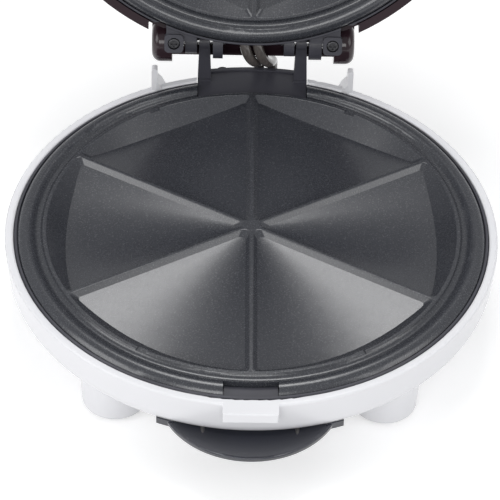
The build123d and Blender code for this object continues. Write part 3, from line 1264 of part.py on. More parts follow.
def thermostat():
    """Ceramic body, metal cap against the plate, fixing strip and two tabs."""
    body = rod(0, 0, THERMOSTAT_BODY_Z, THERMOSTAT_CAP_Z, THERMOSTAT_RADIUS)
    body = fillet(body.edges().group_by(Axis.Z)[0], 0.8)
    strip_top = CORE_Z - 0.05
    strip = block(-THERMOSTAT_STRIP_HALF, THERMOSTAT_STRIP_HALF, -THERMOSTAT_STRIP_WIDTH / 2,
                  THERMOSTAT_STRIP_WIDTH / 2, strip_top - THERMOSTAT_STRIP_THICK, strip_top)
    strip = strip + rod(0, 0, THERMOSTAT_CAP_Z - 0.5, strip_top, THERMOSTAT_CAP_RADIUS)
    for x in (-THERMOSTAT_SCREW_X, THERMOSTAT_SCREW_X):
        strip = strip - rod(x, 0, 0, 60, SCREW / 2 + SCREW_CLEARANCE)
    body = body + strip
    for x in (-THERMOSTAT_TAB_X, THERMOSTAT_TAB_X):
        body = body + block(x - TERMINAL_WIDTH / 2, x + TERMINAL_WIDTH / 2, -TERMINAL_THICK / 2,
                            TERMINAL_THICK / 2, THERMOSTAT_BODY_Z - TERMINAL_LENGTH, THERMOSTAT_BODY_Z + 1)
    return body


def thermostat_screws():
    seat = CORE_Z - 0.05 - THERMOSTAT_STRIP_THICK
    return Compound(children=[
        Pos(x, 0, seat) * screw(THERMOSTAT_STRIP_THICK + SHALLOW_SCREW - 0.3)
        for x in (-THERMOSTAT_SCREW_X, THERMOSTAT_SCREW_X)
    ])


def fuse_z():
    return CORE_Z - FUSE_RADIUS - 0.05


def thermal_fuse():
    half = FUSE_LENGTH / 2
    fuse = cross_rod(-half, half, FUSE_Y, fuse_z(), FUSE_RADIUS)
    return fillet(fuse.edges(), 0.5)


def fuse_clip():
    """Strap over the fuse with one screwed foot."""
    over = side_profile(Circle(FUSE_RADIUS + 0.05 + FUSE_CLIP_THICK), -FUSE_CLIP_HALF, FUSE_CLIP_HALF)
    over = over - side_profile(Circle(FUSE_RADIUS + 0.05), -20, 20) - block(-20, 20, -20, 20, 0, 20)
    rise = FUSE_RADIUS
    inner = FUSE_RADIUS + 0.05
    wall = block(-FUSE_CLIP_HALF, FUSE_CLIP_HALF, inner, inner + FUSE_CLIP_THICK, 0, rise)
    foot = block(-FUSE_CLIP_HALF, FUSE_CLIP_HALF, FUSE_RADIUS + 0.05, FUSE_SCREW_AHEAD + 3.6,
                 rise - FUSE_CLIP_THICK, rise)
    foot = foot - rod(0, FUSE_SCREW_AHEAD, -5, 5, SCREW / 2 + SCREW_CLEARANCE)
    return Pos(0, FUSE_Y, fuse_z()) * (over + wall + foot)


def fuse_clip_screw():
    seat = fuse_z() + FUSE_RADIUS - FUSE_CLIP_THICK
    return Pos(0, FUSE_Y + FUSE_SCREW_AHEAD, seat) * screw(FUSE_CLIP_THICK + SHALLOW_SCREW - 0.3)


def base_wires():
    routes = (FUSE_WIRE, BRIDGE_WIRE, SWITCHED_WIRE, RETURN_WIRE)
    return Compound(children=[tube_along(route, WIRE) for route in routes])


# ---------------------------------------------------------------- lamps, lid shut
def lens(x):
    stem = rod(x, -LAMP_Y, LAMP_FLANGE_Z, lid_top_z() - LID_CROWN * 0.3 + LAMP_PROUD, LAMP_RADIUS)
    stem = fillet(stem.edges().group_by(Axis.Z)[-1], 1.0)
    return stem + rod(x, -LAMP_Y, LAMP_FLANGE_Z, LAMP_FLANGE_Z + LAMP_FLANGE, LAMP_RADIUS + LENS_FLANGE)


def lamp_holder():
    half = HOLDER_WIDTH / 2
    low = HOLDER_TOP_Z - HOLDER_HEIGHT
    inner = LAMP_X + NEON_RADIUS + 3
    body = block(-inner, inner, -LAMP_Y - half, -LAMP_Y + half, low, HOLDER_TOP_Z)
    body = body + block(-HOLDER_HALF, HOLDER_HALF, -LAMP_Y - half, -LAMP_Y + half,
                        HOLDER_TOP_Z - HOLDER_TAB, HOLDER_TOP_Z)
    for x in (-LAMP_X, LAMP_X):
        body = body - rod(x, -LAMP_Y, 0, 100, NEON_RADIUS + NEON_CLEARANCE)
    for x in (-HOLDER_SCREW_X, HOLDER_SCREW_X):
        body = body - rod(x, -LAMP_Y, 0, 100, SCREW / 2 + SCREW_CLEARANCE)
    return body


def lamp_holder_screws():
    seat = HOLDER_TOP_Z - HOLDER_TAB
    return Compound(children=[
        Pos(x, -LAMP_Y, seat) * screw(HOLDER_TAB + 2.2) for x in (-HOLDER_SCREW_X, HOLDER_SCREW_X)
    ])


def neon_lamps():
    low = HOLDER_TOP_Z - HOLDER_HEIGHT + 0.8
    lamps = []
    for x in (-LAMP_X, LAMP_X):
        bulb = rod(x, -LAMP_Y, low, HOLDER_TOP_Z, NEON_RADIUS)
        lamps.append(fillet(bulb.edges(), 1.0))
    return Compound(children=lamps)


def lamp_wires():
    return Compound(children=[tube_along(route, WIRE * 0.7) for route in (LAMP_WIRE_LEFT, LAMP_WIRE_RIGHT)])


# ---------------------------------------------------------------- base pieces
save("lower_shell", lower_shell())
save("lower_frame", lower_frame())
save("lower_plate", Pos(0, 0, RIM_Z) * cooking_plate(True))
save("lower_element", heating_element())
save("lower_element_terminals", element_terminals())
save("lower_element_clamps", element_clamps())
save("lower_clamp_screws", element_clamp_screws())
save("lower_reflector", reflector())
save("lower_reflector_screws", reflector_screws())
save("lower_plate_screws", lower_plate_screws())
save("base_screws", base_screws())
save("foot_pads", foot_pads())
save("lower_handle", lower_handle())
save("lower_handle_screws", lower_handle_screws())
save("cord_gland", cord_gland())
save("terminal_block", terminal_block())
save("terminal_block_screw", block_screw())
save("thermostat", thermostat())
save("thermostat_screws", thermostat_screws())
save("thermal_fuse", thermal_fuse())
save("fuse_clip", fuse_clip())
save("fuse_clip_screw", fuse_clip_screw())
save("base_wires", base_wires())
save("hinge_pins", hinge_pins())
save("sleeved_lead_left", sleeved_lead(LEAD_LEFT_BASE, LEAD_LEFT_LID))
save("sleeved_lead_right", sleeved_lead(LEAD_RIGHT_BASE, LEAD_RIGHT_LID))

# ---------------------------------------------------------------- lid pieces
save("upper_shell", lidded(upper_shell()))
save("upper_frame", lidded(upper_frame()))
save("upper_plate", lidded(mirrored_up(Pos(0, 0, RIM_Z) * cooking_plate(False))))
save("upper_element", lidded(mirrored_up(heating_element())))
save("upper_element_terminals", lidded(mirrored_up(element_terminals())))
save("upper_element_clamps", lidded(mirrored_up(element_clamps())))
save("upper_clamp_screws", lidded(mirrored_up(element_clamp_screws())))
save("upper_reflector", lidded(mirrored_up(reflector())))
save("upper_reflector_screws", lidded(mirrored_up(reflector_screws())))
save("upper_plate_screws", lidded(mirrored_up(lower_plate_screws())))
save("lid_screws", lidded(lid_screws()))
save("upper_handle", lidded(upper_handle()))
save("upper_handle_screws", lidded(mirrored_up(lower_handle_screws())))
save("power_lens", lidded(lens(-LAMP_X)))
save("ready_lens", lidded(lens(LAMP_X)))
save("lamp_holder", lidded(lamp_holder()))
save("lamp_holder_screws", lidded(lamp_holder_screws()))
save("neon_lamps", lidded(neon_lamps()))
save("lamp_wires", lidded(lamp_wires()))
save("latch_pin", lidded(latch_pin()))
save("latch_clip", lidded(released(latch_clip())))
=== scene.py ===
import json
from math import cos, radians, sin

import bmesh
import bpy
from mathutils import Matrix, Vector


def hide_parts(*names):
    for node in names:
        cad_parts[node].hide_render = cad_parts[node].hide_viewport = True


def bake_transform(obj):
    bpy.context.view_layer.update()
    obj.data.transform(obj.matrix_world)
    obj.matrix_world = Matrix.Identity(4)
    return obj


bl_info = {
    "name": "Quesadilla maker",
    "version": (1, 0, 0),
    "blender": (4, 5, 0),
    "location": "3D View > Sidebar > Quesadilla",
    "description": "Finishes, leads and studio of a countertop quesadilla maker",
    "category": "Object",
}

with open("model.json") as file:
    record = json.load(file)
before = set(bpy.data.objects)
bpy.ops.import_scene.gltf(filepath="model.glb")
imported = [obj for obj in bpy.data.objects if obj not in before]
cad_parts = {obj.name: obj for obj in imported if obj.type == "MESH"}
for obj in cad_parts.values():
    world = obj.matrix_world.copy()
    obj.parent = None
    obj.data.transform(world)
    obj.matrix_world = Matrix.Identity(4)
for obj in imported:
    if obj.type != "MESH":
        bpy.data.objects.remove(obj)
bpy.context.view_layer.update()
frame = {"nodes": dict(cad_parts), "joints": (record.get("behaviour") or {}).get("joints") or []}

# Pieces that share a finish
SHELL_PIECES = ("lower_shell",)
PLATE_PIECES = ("lower_plate", "upper_plate")
FRAME_PIECES = ("lower_frame", "upper_frame")
GLAND_PIECES = ("cord_gland",)
HANDLE_PIECES = ("lower_handle", "upper_handle", "latch_clip")
LID_PIECES = ("upper_shell",)
POWER_LENS_PIECES = ("power_lens",)
READY_LENS_PIECES = ("ready_lens",)
LAMP_PIECES = ("neon_lamps",)
ELEMENT_PIECES = ("lower_element", "upper_element")
SHEET_PIECES = ("lower_element_clamps", "upper_element_clamps", "fuse_clip")
REFLECTOR_PIECES = ("lower_reflector", "upper_reflector")
TAB_PIECES = ("lower_element_terminals", "upper_element_terminals")
THERMOSTAT_PIECES = ("thermostat",)
FUSE_PIECES = ("thermal_fuse",)
SCREW_PIECES = (
    "lower_clamp_screws", "upper_clamp_screws", "lower_reflector_screws", "upper_reflector_screws",
    "lower_plate_screws", "upper_plate_screws", "lower_handle_screws", "upper_handle_screws",
    "terminal_block_screw", "thermostat_screws", "fuse_clip_screw", "lamp_holder_screws",
)
DARK_SCREW_PIECES = ("lid_screws", "base_screws")
PIN_PIECES = ("hinge_pins", "latch_pin")
FOOT_PIECES = ("foot_pads",)
BLOCK_PIECES = ("terminal_block", "lamp_holder")
WIRE_PIECES = ("base_wires", "lamp_wires")

# Colours that have no setting in the sidebar
GLAND_RUBBER = (0.03, 0.03, 0.03)
RED_LENS = (0.7, 0.03, 0.02)
GREEN_LENS = (0.03, 0.45, 0.08)
LAMP_GLASS_DARK = (0.85, 0.8, 0.75)
LAMP_GLASS_LIGHT = (0.95, 0.92, 0.9)
OXIDISED_TUBE = (0.32, 0.29, 0.27)
SPRING_STEEL = (0.55, 0.55, 0.55)
REFLECTOR_SHEET = (0.8, 0.8, 0.81)
TAB_BRASS = (0.75, 0.58, 0.28)
THERMOSTAT_CERAMIC = (0.8, 0.77, 0.7)
FUSE_CASE = (0.65, 0.64, 0.6)
SCREW_STEEL = (0.42, 0.41, 0.4)
BLACKENED_STEEL = (0.085, 0.085, 0.09)
PIN_STEEL = (0.5, 0.5, 0.5)
FOOT_RUBBER = (0.5, 0.5, 0.52)
BLOCK_PLASTIC = (0.7, 0.66, 0.55)
WIRE_SLEEVE = (0.62, 0.6, 0.55)
FLOOR_DARK = (0.79, 0.79, 0.79)
FLOOR_LIGHT = (0.8, 0.8, 0.8)
AIR_COLOUR = (0.97, 0.98, 1.0, 1)
WHITE = (1, 1, 1, 1)

# A noise mostly stays between these two values
NOISE_LOW = 0.35
NOISE_HIGH = 0.65
# Where a two-tone finish has its dark and its light tone
TONE_LOW = 0.3
TONE_HIGH = 0.7
# Scales that draw a noise's grains out along an axis
EVEN_GRAIN = (1, 1, 1)
ALONG_X = (0.1, 1, 1)
ALONG_Y = (1, 0.1, 1)
STRANDS = (1, 1, 0.35)

# Hinge of the lid
LID_HINGE = [joint for joint in frame["joints"] if joint["name"] == "lid_hinge"][0]
HINGE_PLACE = Vector(LID_HINGE["pos_m"])
OPEN_TURN = Matrix.Rotation(radians(-LID_HINGE["range_deg"][1]), 4, "X")

# Middle lines of the two sleeved leads: in the base and over the hinge, then inside the shut lid
LEAD_LEFT_BASE = (
    (-0.0032, 0.0920, 0.0215), (0.0036, 0.0965, 0.0225), (0.0036, 0.1115, 0.0300), (0.0036, 0.1190, 0.0384),
    (0.0036, 0.1382, 0.0388), (0.0040, 0.1428, 0.0436), (0.0044, 0.1418, 0.0508), (0.0026, 0.1314, 0.0554),
    (-0.0016, 0.1262, 0.0623), (-0.0048, 0.1256, 0.0715),
)
LEAD_LEFT_LID = ((-0.0084, 0.1136, 0.0706), (-0.0130, 0.0920, 0.0775), (-0.0140, 0.0720, 0.0793))
LEAD_RIGHT_BASE = (
    (-0.0032, 0.0840, 0.0215), (0.0114, 0.0875, 0.0210), (0.0114, 0.1100, 0.0285), (0.0114, 0.1190, 0.0384),
    (0.0114, 0.1382, 0.0388), (0.0116, 0.1428, 0.0436), (0.0116, 0.1418, 0.0508), (0.0098, 0.1318, 0.0548),
    (0.0056, 0.1266, 0.0622), (0.0024, 0.1262, 0.0715),
)
LEAD_RIGHT_LID = ((0.0004, 0.1136, 0.0706), (0.0120, 0.0920, 0.0775), (0.0140, 0.0720, 0.0793))
LEADS = (
    ("left", LEAD_LEFT_BASE, LEAD_LEFT_LID),
    ("right", LEAD_RIGHT_BASE, LEAD_RIGHT_LID),
)
# How finely a lead is drawn along its line and round it
LEAD_STEPS = 12
LEAD_BEVEL_STEPS = 6
LEAD_SPLINE_ORDER = 3
# How much lighter than its ground a sleeve's strands are
STRAND_LIGHTENING = 1.5

# Studio: the point that camera and lights face, the floor and the camera's picture in pixels
AIM = Vector((0, 0, 0.05))
FLOOR_HALF_WIDTH = 4.0
FLOOR_SHIFT = (0, 1.0, 0)
FLOOR_GLOW = 0.42
SENSOR_WIDTH = 36.0
PICTURE_SIDE = 500
PICTURE_SHIFT_X = -1.667
PICTURE_SHIFT_Y = -25.375
NEAR_CLIP = 0.05
# Each soft box: name, place, width, depth, and its power as a factor of the key light's
SOFT_BOXES = (
    ("top_box", (0.0, 0.38, 1.05), 0.46, 0.46, 0.8),
    ("left_box", (-1.3, -0.6, 0.8), 0.9, 0.9, 1.5),
    ("right_box", (1.3, -0.6, 0.8), 0.9, 0.9, 1.0),
    ("front_box", (-0.2, -1.5, 0.9), 1.2, 0.5, 1.7),
)


# ------------------------------------------------------------------ node helpers
class Recipe:
    """A material and the few node steps that its finish needs."""

    def __init__(self, name):
        self.material = bpy.data.materials.new(name)
        self.material.use_nodes = True
        self.tree = self.material.node_tree
        self.tree.nodes.clear()
        self.surface = self.add("ShaderNodeBsdfPrincipled")
        output = self.add("ShaderNodeOutputMaterial")
        self.link(self.surface, "BSDF", output, "Surface")
        self.place = self.add("ShaderNodeTexCoord")

    def add(self, kind):
        return self.tree.nodes.new(kind)

    def link(self, source, out, target, into):
        self.tree.links.new(source.outputs[out], target.inputs[into])

    def shine(self, roughness, metallic=0.0, specular=0.5, coat=0.0, coat_roughness=0.1):
        """Sets the gloss, with the roughness in the middle of the range that a noise may give it."""
        sockets = self.surface.inputs
        sockets["Roughness"].default_value = roughness
        sockets["Metallic"].default_value = metallic
        sockets["Specular IOR Level"].default_value = specular
        sockets["Coat Weight"].default_value = coat
        sockets["Coat Roughness"].default_value = coat_roughness

    def let_through(self, share):
        """Lets a share of the light through."""
        self.surface.inputs["Transmission Weight"].default_value = share

    def noise(self, size, detail, stretch=EVEN_GRAIN):
        """Noise whose grains are about as large as size, in metres."""
        mapping = self.add("ShaderNodeMapping")
        mapping.inputs["Scale"].default_value = stretch
        self.link(self.place, "Object", mapping, "Vector")
        noise = self.add("ShaderNodeTexNoise")
        noise.inputs["Scale"].default_value = 1.0 / size
        noise.inputs["Detail"].default_value = detail
        self.link(mapping, "Vector", noise, "Vector")
        return noise

    def tones(self, noise, stops):
        """Colours the surface by a noise, from stops that each have a position and a colour."""
        ramp = self.add("ShaderNodeValToRGB")
        elements = ramp.color_ramp.elements
        while len(elements) > 1:
            elements.remove(elements[-1])
        elements[0].position = stops[0][0]
        elements[0].color = (*stops[0][1], 1)
        for position, colour in stops[1:]:
            elements.new(position).color = (*colour, 1)
        self.link(noise, "Fac", ramp, "Fac")
        self.link(ramp, "Color", self.surface, "Base Color")

    def two_tones(self, noise, dark, light):
        self.tones(noise, ((TONE_LOW, dark), (TONE_HIGH, light)))

    def roughness_range(self, noise, low, high):
        """Spreads a noise over a range of roughness."""
        spread = self.add("ShaderNodeMapRange")
        spread.inputs["From Min"].default_value = NOISE_LOW
        spread.inputs["From Max"].default_value = NOISE_HIGH
        spread.inputs["To Min"].default_value = low
        spread.inputs["To Max"].default_value = high
        self.link(noise, "Fac", spread, "Value")
        self.link(spread, "Result", self.surface, "Roughness")

    def bump(self, noise, height, strength):
        """Raises the surface by up to a height in metres."""
        bump = self.add("ShaderNodeBump")
        bump.inputs["Strength"].default_value = strength
        bump.inputs["Distance"].default_value = height
        self.link(noise, "Fac", bump, "Height")
        self.link(bump, "Normal", self.surface, "Normal")


def any_ray(tree, kinds):
    """A socket that gives 1 on the rays of these kinds and 0 on all others."""
    rays = tree.nodes.new("ShaderNodeLightPath")
    found = rays.outputs[kinds[0]]
    for kind in kinds[1:]:
        either = tree.nodes.new("ShaderNodeMath")
        either.operation = "MAXIMUM"
        tree.links.new(found, either.inputs[0])
        tree.links.new(rays.outputs[kind], either.inputs[1])
        found = either.outputs["Value"]
    return found


def shade(colour, factor):
    """A colour made darker or lighter."""
    return tuple(channel * factor for channel in colour)


def dress(nodes, material):
    """Gives CAD pieces a finish."""
    for name in nodes:
        piece = frame["nodes"][name]
        piece.data.materials.clear()
        piece.data.materials.append(material)


def opened(point):
    """Where a point of the shut lid is with the lid open."""
    return HINGE_PLACE + OPEN_TURN @ (Vector(point) - HINGE_PLACE)


def sleeve_tube(name, route, thickness):
    """A round sleeve on a smooth line drawn by the route's points."""
    line = bpy.data.curves.new(name, "CURVE")
    line.dimensions = "3D"
    line.resolution_u = LEAD_STEPS
    line.bevel_depth = thickness / 2
    line.bevel_resolution = LEAD_BEVEL_STEPS
    line.use_fill_caps = True
    spline = line.splines.new("NURBS")
    spline.points.add(len(route) - 1)
    for knot, place in zip(spline.points, route):
        knot.co = (*place, 1)
    spline.order_u = LEAD_SPLINE_ORDER
    spline.use_endpoint_u = True
    drawn = bpy.data.objects.new(name + "_line", line)
    bpy.context.scene.collection.objects.link(drawn)
    bpy.context.view_layer.update()
    mesh = bpy.data.meshes.new_from_object(drawn.evaluated_get(bpy.context.evaluated_depsgraph_get()))
    bpy.data.objects.remove(drawn)
    mesh.name = name
    mesh.materials.clear()
    for face in mesh.polygons:
        face.use_smooth = True
    tube = bpy.data.objects.new(name, mesh)
    bpy.context.scene.collection.objects.link(tube)
    return tube


# ------------------------------------------------------------------ finishes
def glossy_white_plastic(colour):
    """Glossy white shell plastic, slightly uneven in tone."""
    recipe = Recipe("glossy_white_plastic")
    cloud = recipe.noise(size=0.05, detail=2.0)
    recipe.two_tones(cloud, shade(colour, 0.985), colour)
    recipe.shine(roughness=0.2)
    recipe.roughness_range(cloud, low=0.16, high=0.24)
    skin = recipe.noise(size=0.0022, detail=2.0)
    recipe.bump(skin, height=0.00002, strength=0.35)
    return recipe.material


def speckled_coat(dark, fleck):
    """Sprayed non-stick coat: a grey-black ground with fine pale flecks."""
    recipe = Recipe("speckled_coat")
    grain = recipe.noise(size=0.0006, detail=1.0)
    recipe.tones(grain, ((0.40, dark), (0.60, shade(dark, 1.3)), (0.74, fleck)))
    recipe.shine(roughness=0.24, specular=0.9)
    fine = recipe.noise(size=0.0009, detail=2.0)
    recipe.roughness_range(fine, low=0.21, high=0.28)
    recipe.bump(fine, height=0.00003, strength=0.4)
    return recipe.material


def moulded_black(colour):
    """Heat-resistant plastic with a finely grained, half matte skin."""
    recipe = Recipe("moulded_black")
    cloud = recipe.noise(size=0.03, detail=2.0)
    recipe.two_tones(cloud, shade(colour, 0.85), shade(colour, 1.1))
    recipe.shine(roughness=0.38, specular=0.45)
    grain = recipe.noise(size=0.0009, detail=2.0)
    recipe.roughness_range(grain, low=0.34, high=0.44)
    recipe.bump(grain, height=0.00003, strength=0.4)
    return recipe.material


def polished_black(colour):
    """Handle plastic from a polished mould, with a slight ripple."""
    recipe = Recipe("polished_black")
    cloud = recipe.noise(size=0.02, detail=2.0)
    recipe.two_tones(cloud, shade(colour, 0.9), shade(colour, 1.1))
    recipe.shine(roughness=0.1, specular=0.65, coat=0.6, coat_roughness=0.05)
    recipe.roughness_range(cloud, low=0.08, high=0.13)
    ripple = recipe.noise(size=0.012, detail=1.0)
    recipe.bump(ripple, height=0.00006, strength=0.25)
    return recipe.material


def burgundy_gloss(colour):
    """Glossy lid plastic, with a slight ripple."""
    recipe = Recipe("burgundy_gloss")
    cloud = recipe.noise(size=0.03, detail=2.0)
    recipe.two_tones(cloud, shade(colour, 0.9), shade(colour, 1.1))
    recipe.shine(roughness=0.14)
    recipe.roughness_range(cloud, low=0.1, high=0.17)
    ripple = recipe.noise(size=0.02, detail=1.0)
    recipe.bump(ripple, height=0.00008, strength=0.25)
    return recipe.material


def bare_metal(name, colour, roughness, brushed=EVEN_GRAIN):
    """Uncoated metal, plain or brushed along an axis."""
    recipe = Recipe(name)
    grain = recipe.noise(size=0.0015, detail=3.0, stretch=brushed)
    recipe.two_tones(grain, shade(colour, 0.85), colour)
    recipe.shine(roughness, metallic=1.0)
    recipe.roughness_range(grain, low=roughness * 0.8, high=roughness * 1.2)
    recipe.bump(grain, height=0.00002, strength=0.3)
    return recipe.material


def matte_stuff(name, colour, roughness):
    """Rubber, ceramic and dull plastic."""
    recipe = Recipe(name)
    grain = recipe.noise(size=0.0012, detail=3.0)
    recipe.two_tones(grain, shade(colour, 0.88), colour)
    recipe.shine(roughness, specular=0.35)
    recipe.roughness_range(grain, low=roughness * 0.92, high=roughness * 1.08)
    recipe.bump(grain, height=0.00004, strength=0.4)
    return recipe.material


def lamp_plastic(name, colour):
    """Tinted plastic that lets some light through."""
    recipe = Recipe(name)
    grain = recipe.noise(size=0.0015, detail=1.0)
    recipe.two_tones(grain, shade(colour, 0.8), colour)
    recipe.shine(roughness=0.08)
    recipe.let_through(0.45)
    recipe.bump(grain, height=0.00005, strength=0.3)
    return recipe.material


def varnished_sleeve(colour, light):
    """Varnished sleeve of fine braided glass."""
    recipe = Recipe("varnished_sleeve")
    strands = recipe.noise(size=0.0014, detail=2.0, stretch=STRANDS)
    recipe.tones(strands, ((0.35, colour), (0.68, light)))
    recipe.shine(roughness=0.16, specular=0.8, coat=0.5, coat_roughness=0.08)
    recipe.roughness_range(strands, low=0.13, high=0.2)
    recipe.bump(strands, height=0.00004, strength=0.4)
    return recipe.material


def neon_glass():
    """Clear glass of the indicator lamps."""
    recipe = Recipe("neon_glass")
    grain = recipe.noise(size=0.003, detail=1.0)
    recipe.two_tones(grain, LAMP_GLASS_DARK, LAMP_GLASS_LIGHT)
    recipe.shine(roughness=0.05)
    recipe.let_through(0.8)
    return recipe.material


# ------------------------------------------------------------------ settings
def colour_setting(name, description, default):
    return bpy.props.FloatVectorProperty(
        name=name, description=description, subtype="COLOR", size=3, min=0, max=1, default=default,
    )


class QuesadillaFinish(bpy.types.PropertyGroup):
    """Colours of the visible plastics and coats."""

    shell: colour_setting("Base shell", "Colour of the white bowl", (0.88, 0.88, 0.905))
    plate: colour_setting("Plate coat", "Ground colour of the non-stick coat", (0.032, 0.034, 0.041))
    fleck: colour_setting("Flecks", "Colour of the flecks in the non-stick coat", (0.095, 0.10, 0.11))
    frame: colour_setting("Inner frames", "Colour of the heat-resistant frames", (0.060, 0.060, 0.074))
    handle: colour_setting("Handles", "Colour of the half-moon handles", (0.026, 0.028, 0.040))
    lid: colour_setting("Lid", "Colour of the lid's shell", (0.030, 0.016, 0.021))


class QuesadillaLeads(bpy.types.PropertyGroup):
    """Sleeved leads over the hinge."""

    thickness: bpy.props.FloatProperty(
        name="Thickness", description="Outer diameter of a sleeve", unit="LENGTH", default=0.006, min=0.002,
    )
    colour: colour_setting("Sleeve", "Colour of the varnished sleeves", (0.085, 0.074, 0.068))


class QuesadillaStudio(bpy.types.PropertyGroup):
    """Camera and lights of the product picture."""

    distance: bpy.props.FloatProperty(
        name="Distance", description="Camera to the point it faces", unit="LENGTH", default=1.357426,
    )
    elevation: bpy.props.FloatProperty(
        name="Elevation", description="Camera above the horizon", subtype="ANGLE", default=radians(42.14),
    )
    turn: bpy.props.FloatProperty(
        name="Turn", description="How far the maker is turned on the table", subtype="ANGLE",
        default=radians(0.847),
    )
    tilt: bpy.props.FloatProperty(
        name="Tilt", description="Camera's roll", subtype="ANGLE", default=radians(1.5),
    )
    lens: bpy.props.FloatProperty(
        name="Lens", description="Focal length in millimetres", default=183.28, min=10,
    )
    key: bpy.props.FloatProperty(
        name="Key light", description="Watts that each soft box multiplies by its factor",
        default=4.3, min=0,
    )
    air: bpy.props.FloatProperty(
        name="Air light", description="Even light from all round", default=0.45, min=0,
    )


# ------------------------------------------------------------------ pieces
class QUESADILLA_OT_base_shell(bpy.types.Operator):
    """Finish the white bowl"""

    bl_idname = "quesadilla.base_shell"
    bl_label = "Base shell"

    def execute(self, context):
        dress(SHELL_PIECES, glossy_white_plastic(context.scene.quesadilla_finish.shell))
        return {"FINISHED"}


class QUESADILLA_OT_plates(bpy.types.Operator):
    """Finish the two cooking plates"""

    bl_idname = "quesadilla.plates"
    bl_label = "Cooking plates"

    def execute(self, context):
        finish = context.scene.quesadilla_finish
        dress(PLATE_PIECES, speckled_coat(finish.plate, finish.fleck))
        return {"FINISHED"}


class QUESADILLA_OT_frames(bpy.types.Operator):
    """Finish the two inner frames with their hinge arms, and the inlet bush"""

    bl_idname = "quesadilla.frames"
    bl_label = "Inner frames"

    def execute(self, context):
        dress(FRAME_PIECES, moulded_black(context.scene.quesadilla_finish.frame))
        dress(GLAND_PIECES, matte_stuff("gland_rubber", GLAND_RUBBER, roughness=0.7))
        return {"FINISHED"}


class QUESADILLA_OT_handles(bpy.types.Operator):
    """Finish the handles and the latch"""

    bl_idname = "quesadilla.handles"
    bl_label = "Handles and latch"

    def execute(self, context):
        dress(HANDLE_PIECES, polished_black(context.scene.quesadilla_finish.handle))
        return {"FINISHED"}


class QUESADILLA_OT_lid_shell(bpy.types.Operator):
    """Finish the lid's shell and its lamps"""

    bl_idname = "quesadilla.lid_shell"
    bl_label = "Lid shell"

    def execute(self, context):
        dress(LID_PIECES, burgundy_gloss(context.scene.quesadilla_finish.lid))
        dress(POWER_LENS_PIECES, lamp_plastic("red_lens", RED_LENS))
        dress(READY_LENS_PIECES, lamp_plastic("green_lens", GREEN_LENS))
        dress(LAMP_PIECES, neon_glass())
        return {"FINISHED"}


class QUESADILLA_OT_heating(bpy.types.Operator):
    """Finish the elements, clamps, reflectors, terminals, thermostat and fuse"""

    bl_idname = "quesadilla.heating"
    bl_label = "Heating parts"

    def execute(self, context):
        dress(ELEMENT_PIECES, bare_metal("oxidised_tube", OXIDISED_TUBE, roughness=0.45))
        dress(SHEET_PIECES, bare_metal("spring_steel", SPRING_STEEL, roughness=0.32))
        sheet = bare_metal("reflector_sheet", REFLECTOR_SHEET, roughness=0.28, brushed=ALONG_Y)
        dress(REFLECTOR_PIECES, sheet)
        dress(TAB_PIECES, bare_metal("tab_brass", TAB_BRASS, roughness=0.3))
        dress(THERMOSTAT_PIECES, matte_stuff("thermostat_ceramic", THERMOSTAT_CERAMIC, roughness=0.6))
        dress(FUSE_PIECES, bare_metal("fuse_case", FUSE_CASE, roughness=0.35))
        return {"FINISHED"}


class QUESADILLA_OT_fasteners(bpy.types.Operator):
    """Finish the screws, pins, foot pads, blocks and wires"""

    bl_idname = "quesadilla.fasteners"
    bl_label = "Fasteners and wiring"

    def execute(self, context):
        dress(SCREW_PIECES, bare_metal("screw_steel", SCREW_STEEL, roughness=0.34))
        dress(DARK_SCREW_PIECES, bare_metal("blackened_screw", BLACKENED_STEEL, roughness=0.36))
        dress(PIN_PIECES, bare_metal("pin_steel", PIN_STEEL, roughness=0.25, brushed=ALONG_X))
        dress(FOOT_PIECES, matte_stuff("foot_rubber", FOOT_RUBBER, roughness=0.8))
        dress(BLOCK_PIECES, matte_stuff("block_plastic", BLOCK_PLASTIC, roughness=0.5))
        dress(WIRE_PIECES, matte_stuff("wire_sleeve", WIRE_SLEEVE, roughness=0.6))
        return {"FINISHED"}


class QUESADILLA_OT_leads(bpy.types.Operator):
    """Make the two sleeved leads, which bend over the hinge"""

    bl_idname = "quesadilla.leads"
    bl_label = "Leads over the hinge"

    def execute(self, context):
        leads = context.scene.quesadilla_leads
        sleeve = varnished_sleeve(leads.colour, shade(leads.colour, STRAND_LIGHTENING))
        for side, in_base, in_lid in LEADS:
            route = [Vector(point) for point in in_base] + [opened(point) for point in in_lid]
            lead = sleeve_tube("lead_" + side, route, leads.thickness)
            lead.data.materials.append(sleeve)
            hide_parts("sleeved_lead_" + side)
            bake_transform(lead)
        return {"FINISHED"}


# ------------------------------------------------------------------ studio
def white_floor():
    """Floor that is lifted to white where it is seen, straight or in a gloss, and keeps the shadow."""
    recipe = Recipe("studio_floor")
    cloud = recipe.noise(size=0.4, detail=1.0)
    recipe.two_tones(cloud, FLOOR_DARK, FLOOR_LIGHT)
    recipe.shine(roughness=0.9, specular=0.0)
    seen = any_ray(recipe.tree, ("Is Camera Ray", "Is Glossy Ray", "Is Transmission Ray"))
    level = recipe.add("ShaderNodeMath")
    level.operation = "MULTIPLY"
    level.inputs[1].default_value = FLOOR_GLOW
    recipe.tree.links.new(seen, level.inputs[0])
    recipe.surface.inputs["Emission Color"].default_value = WHITE
    recipe.link(level, "Value", recipe.surface, "Emission Strength")
    return recipe.material


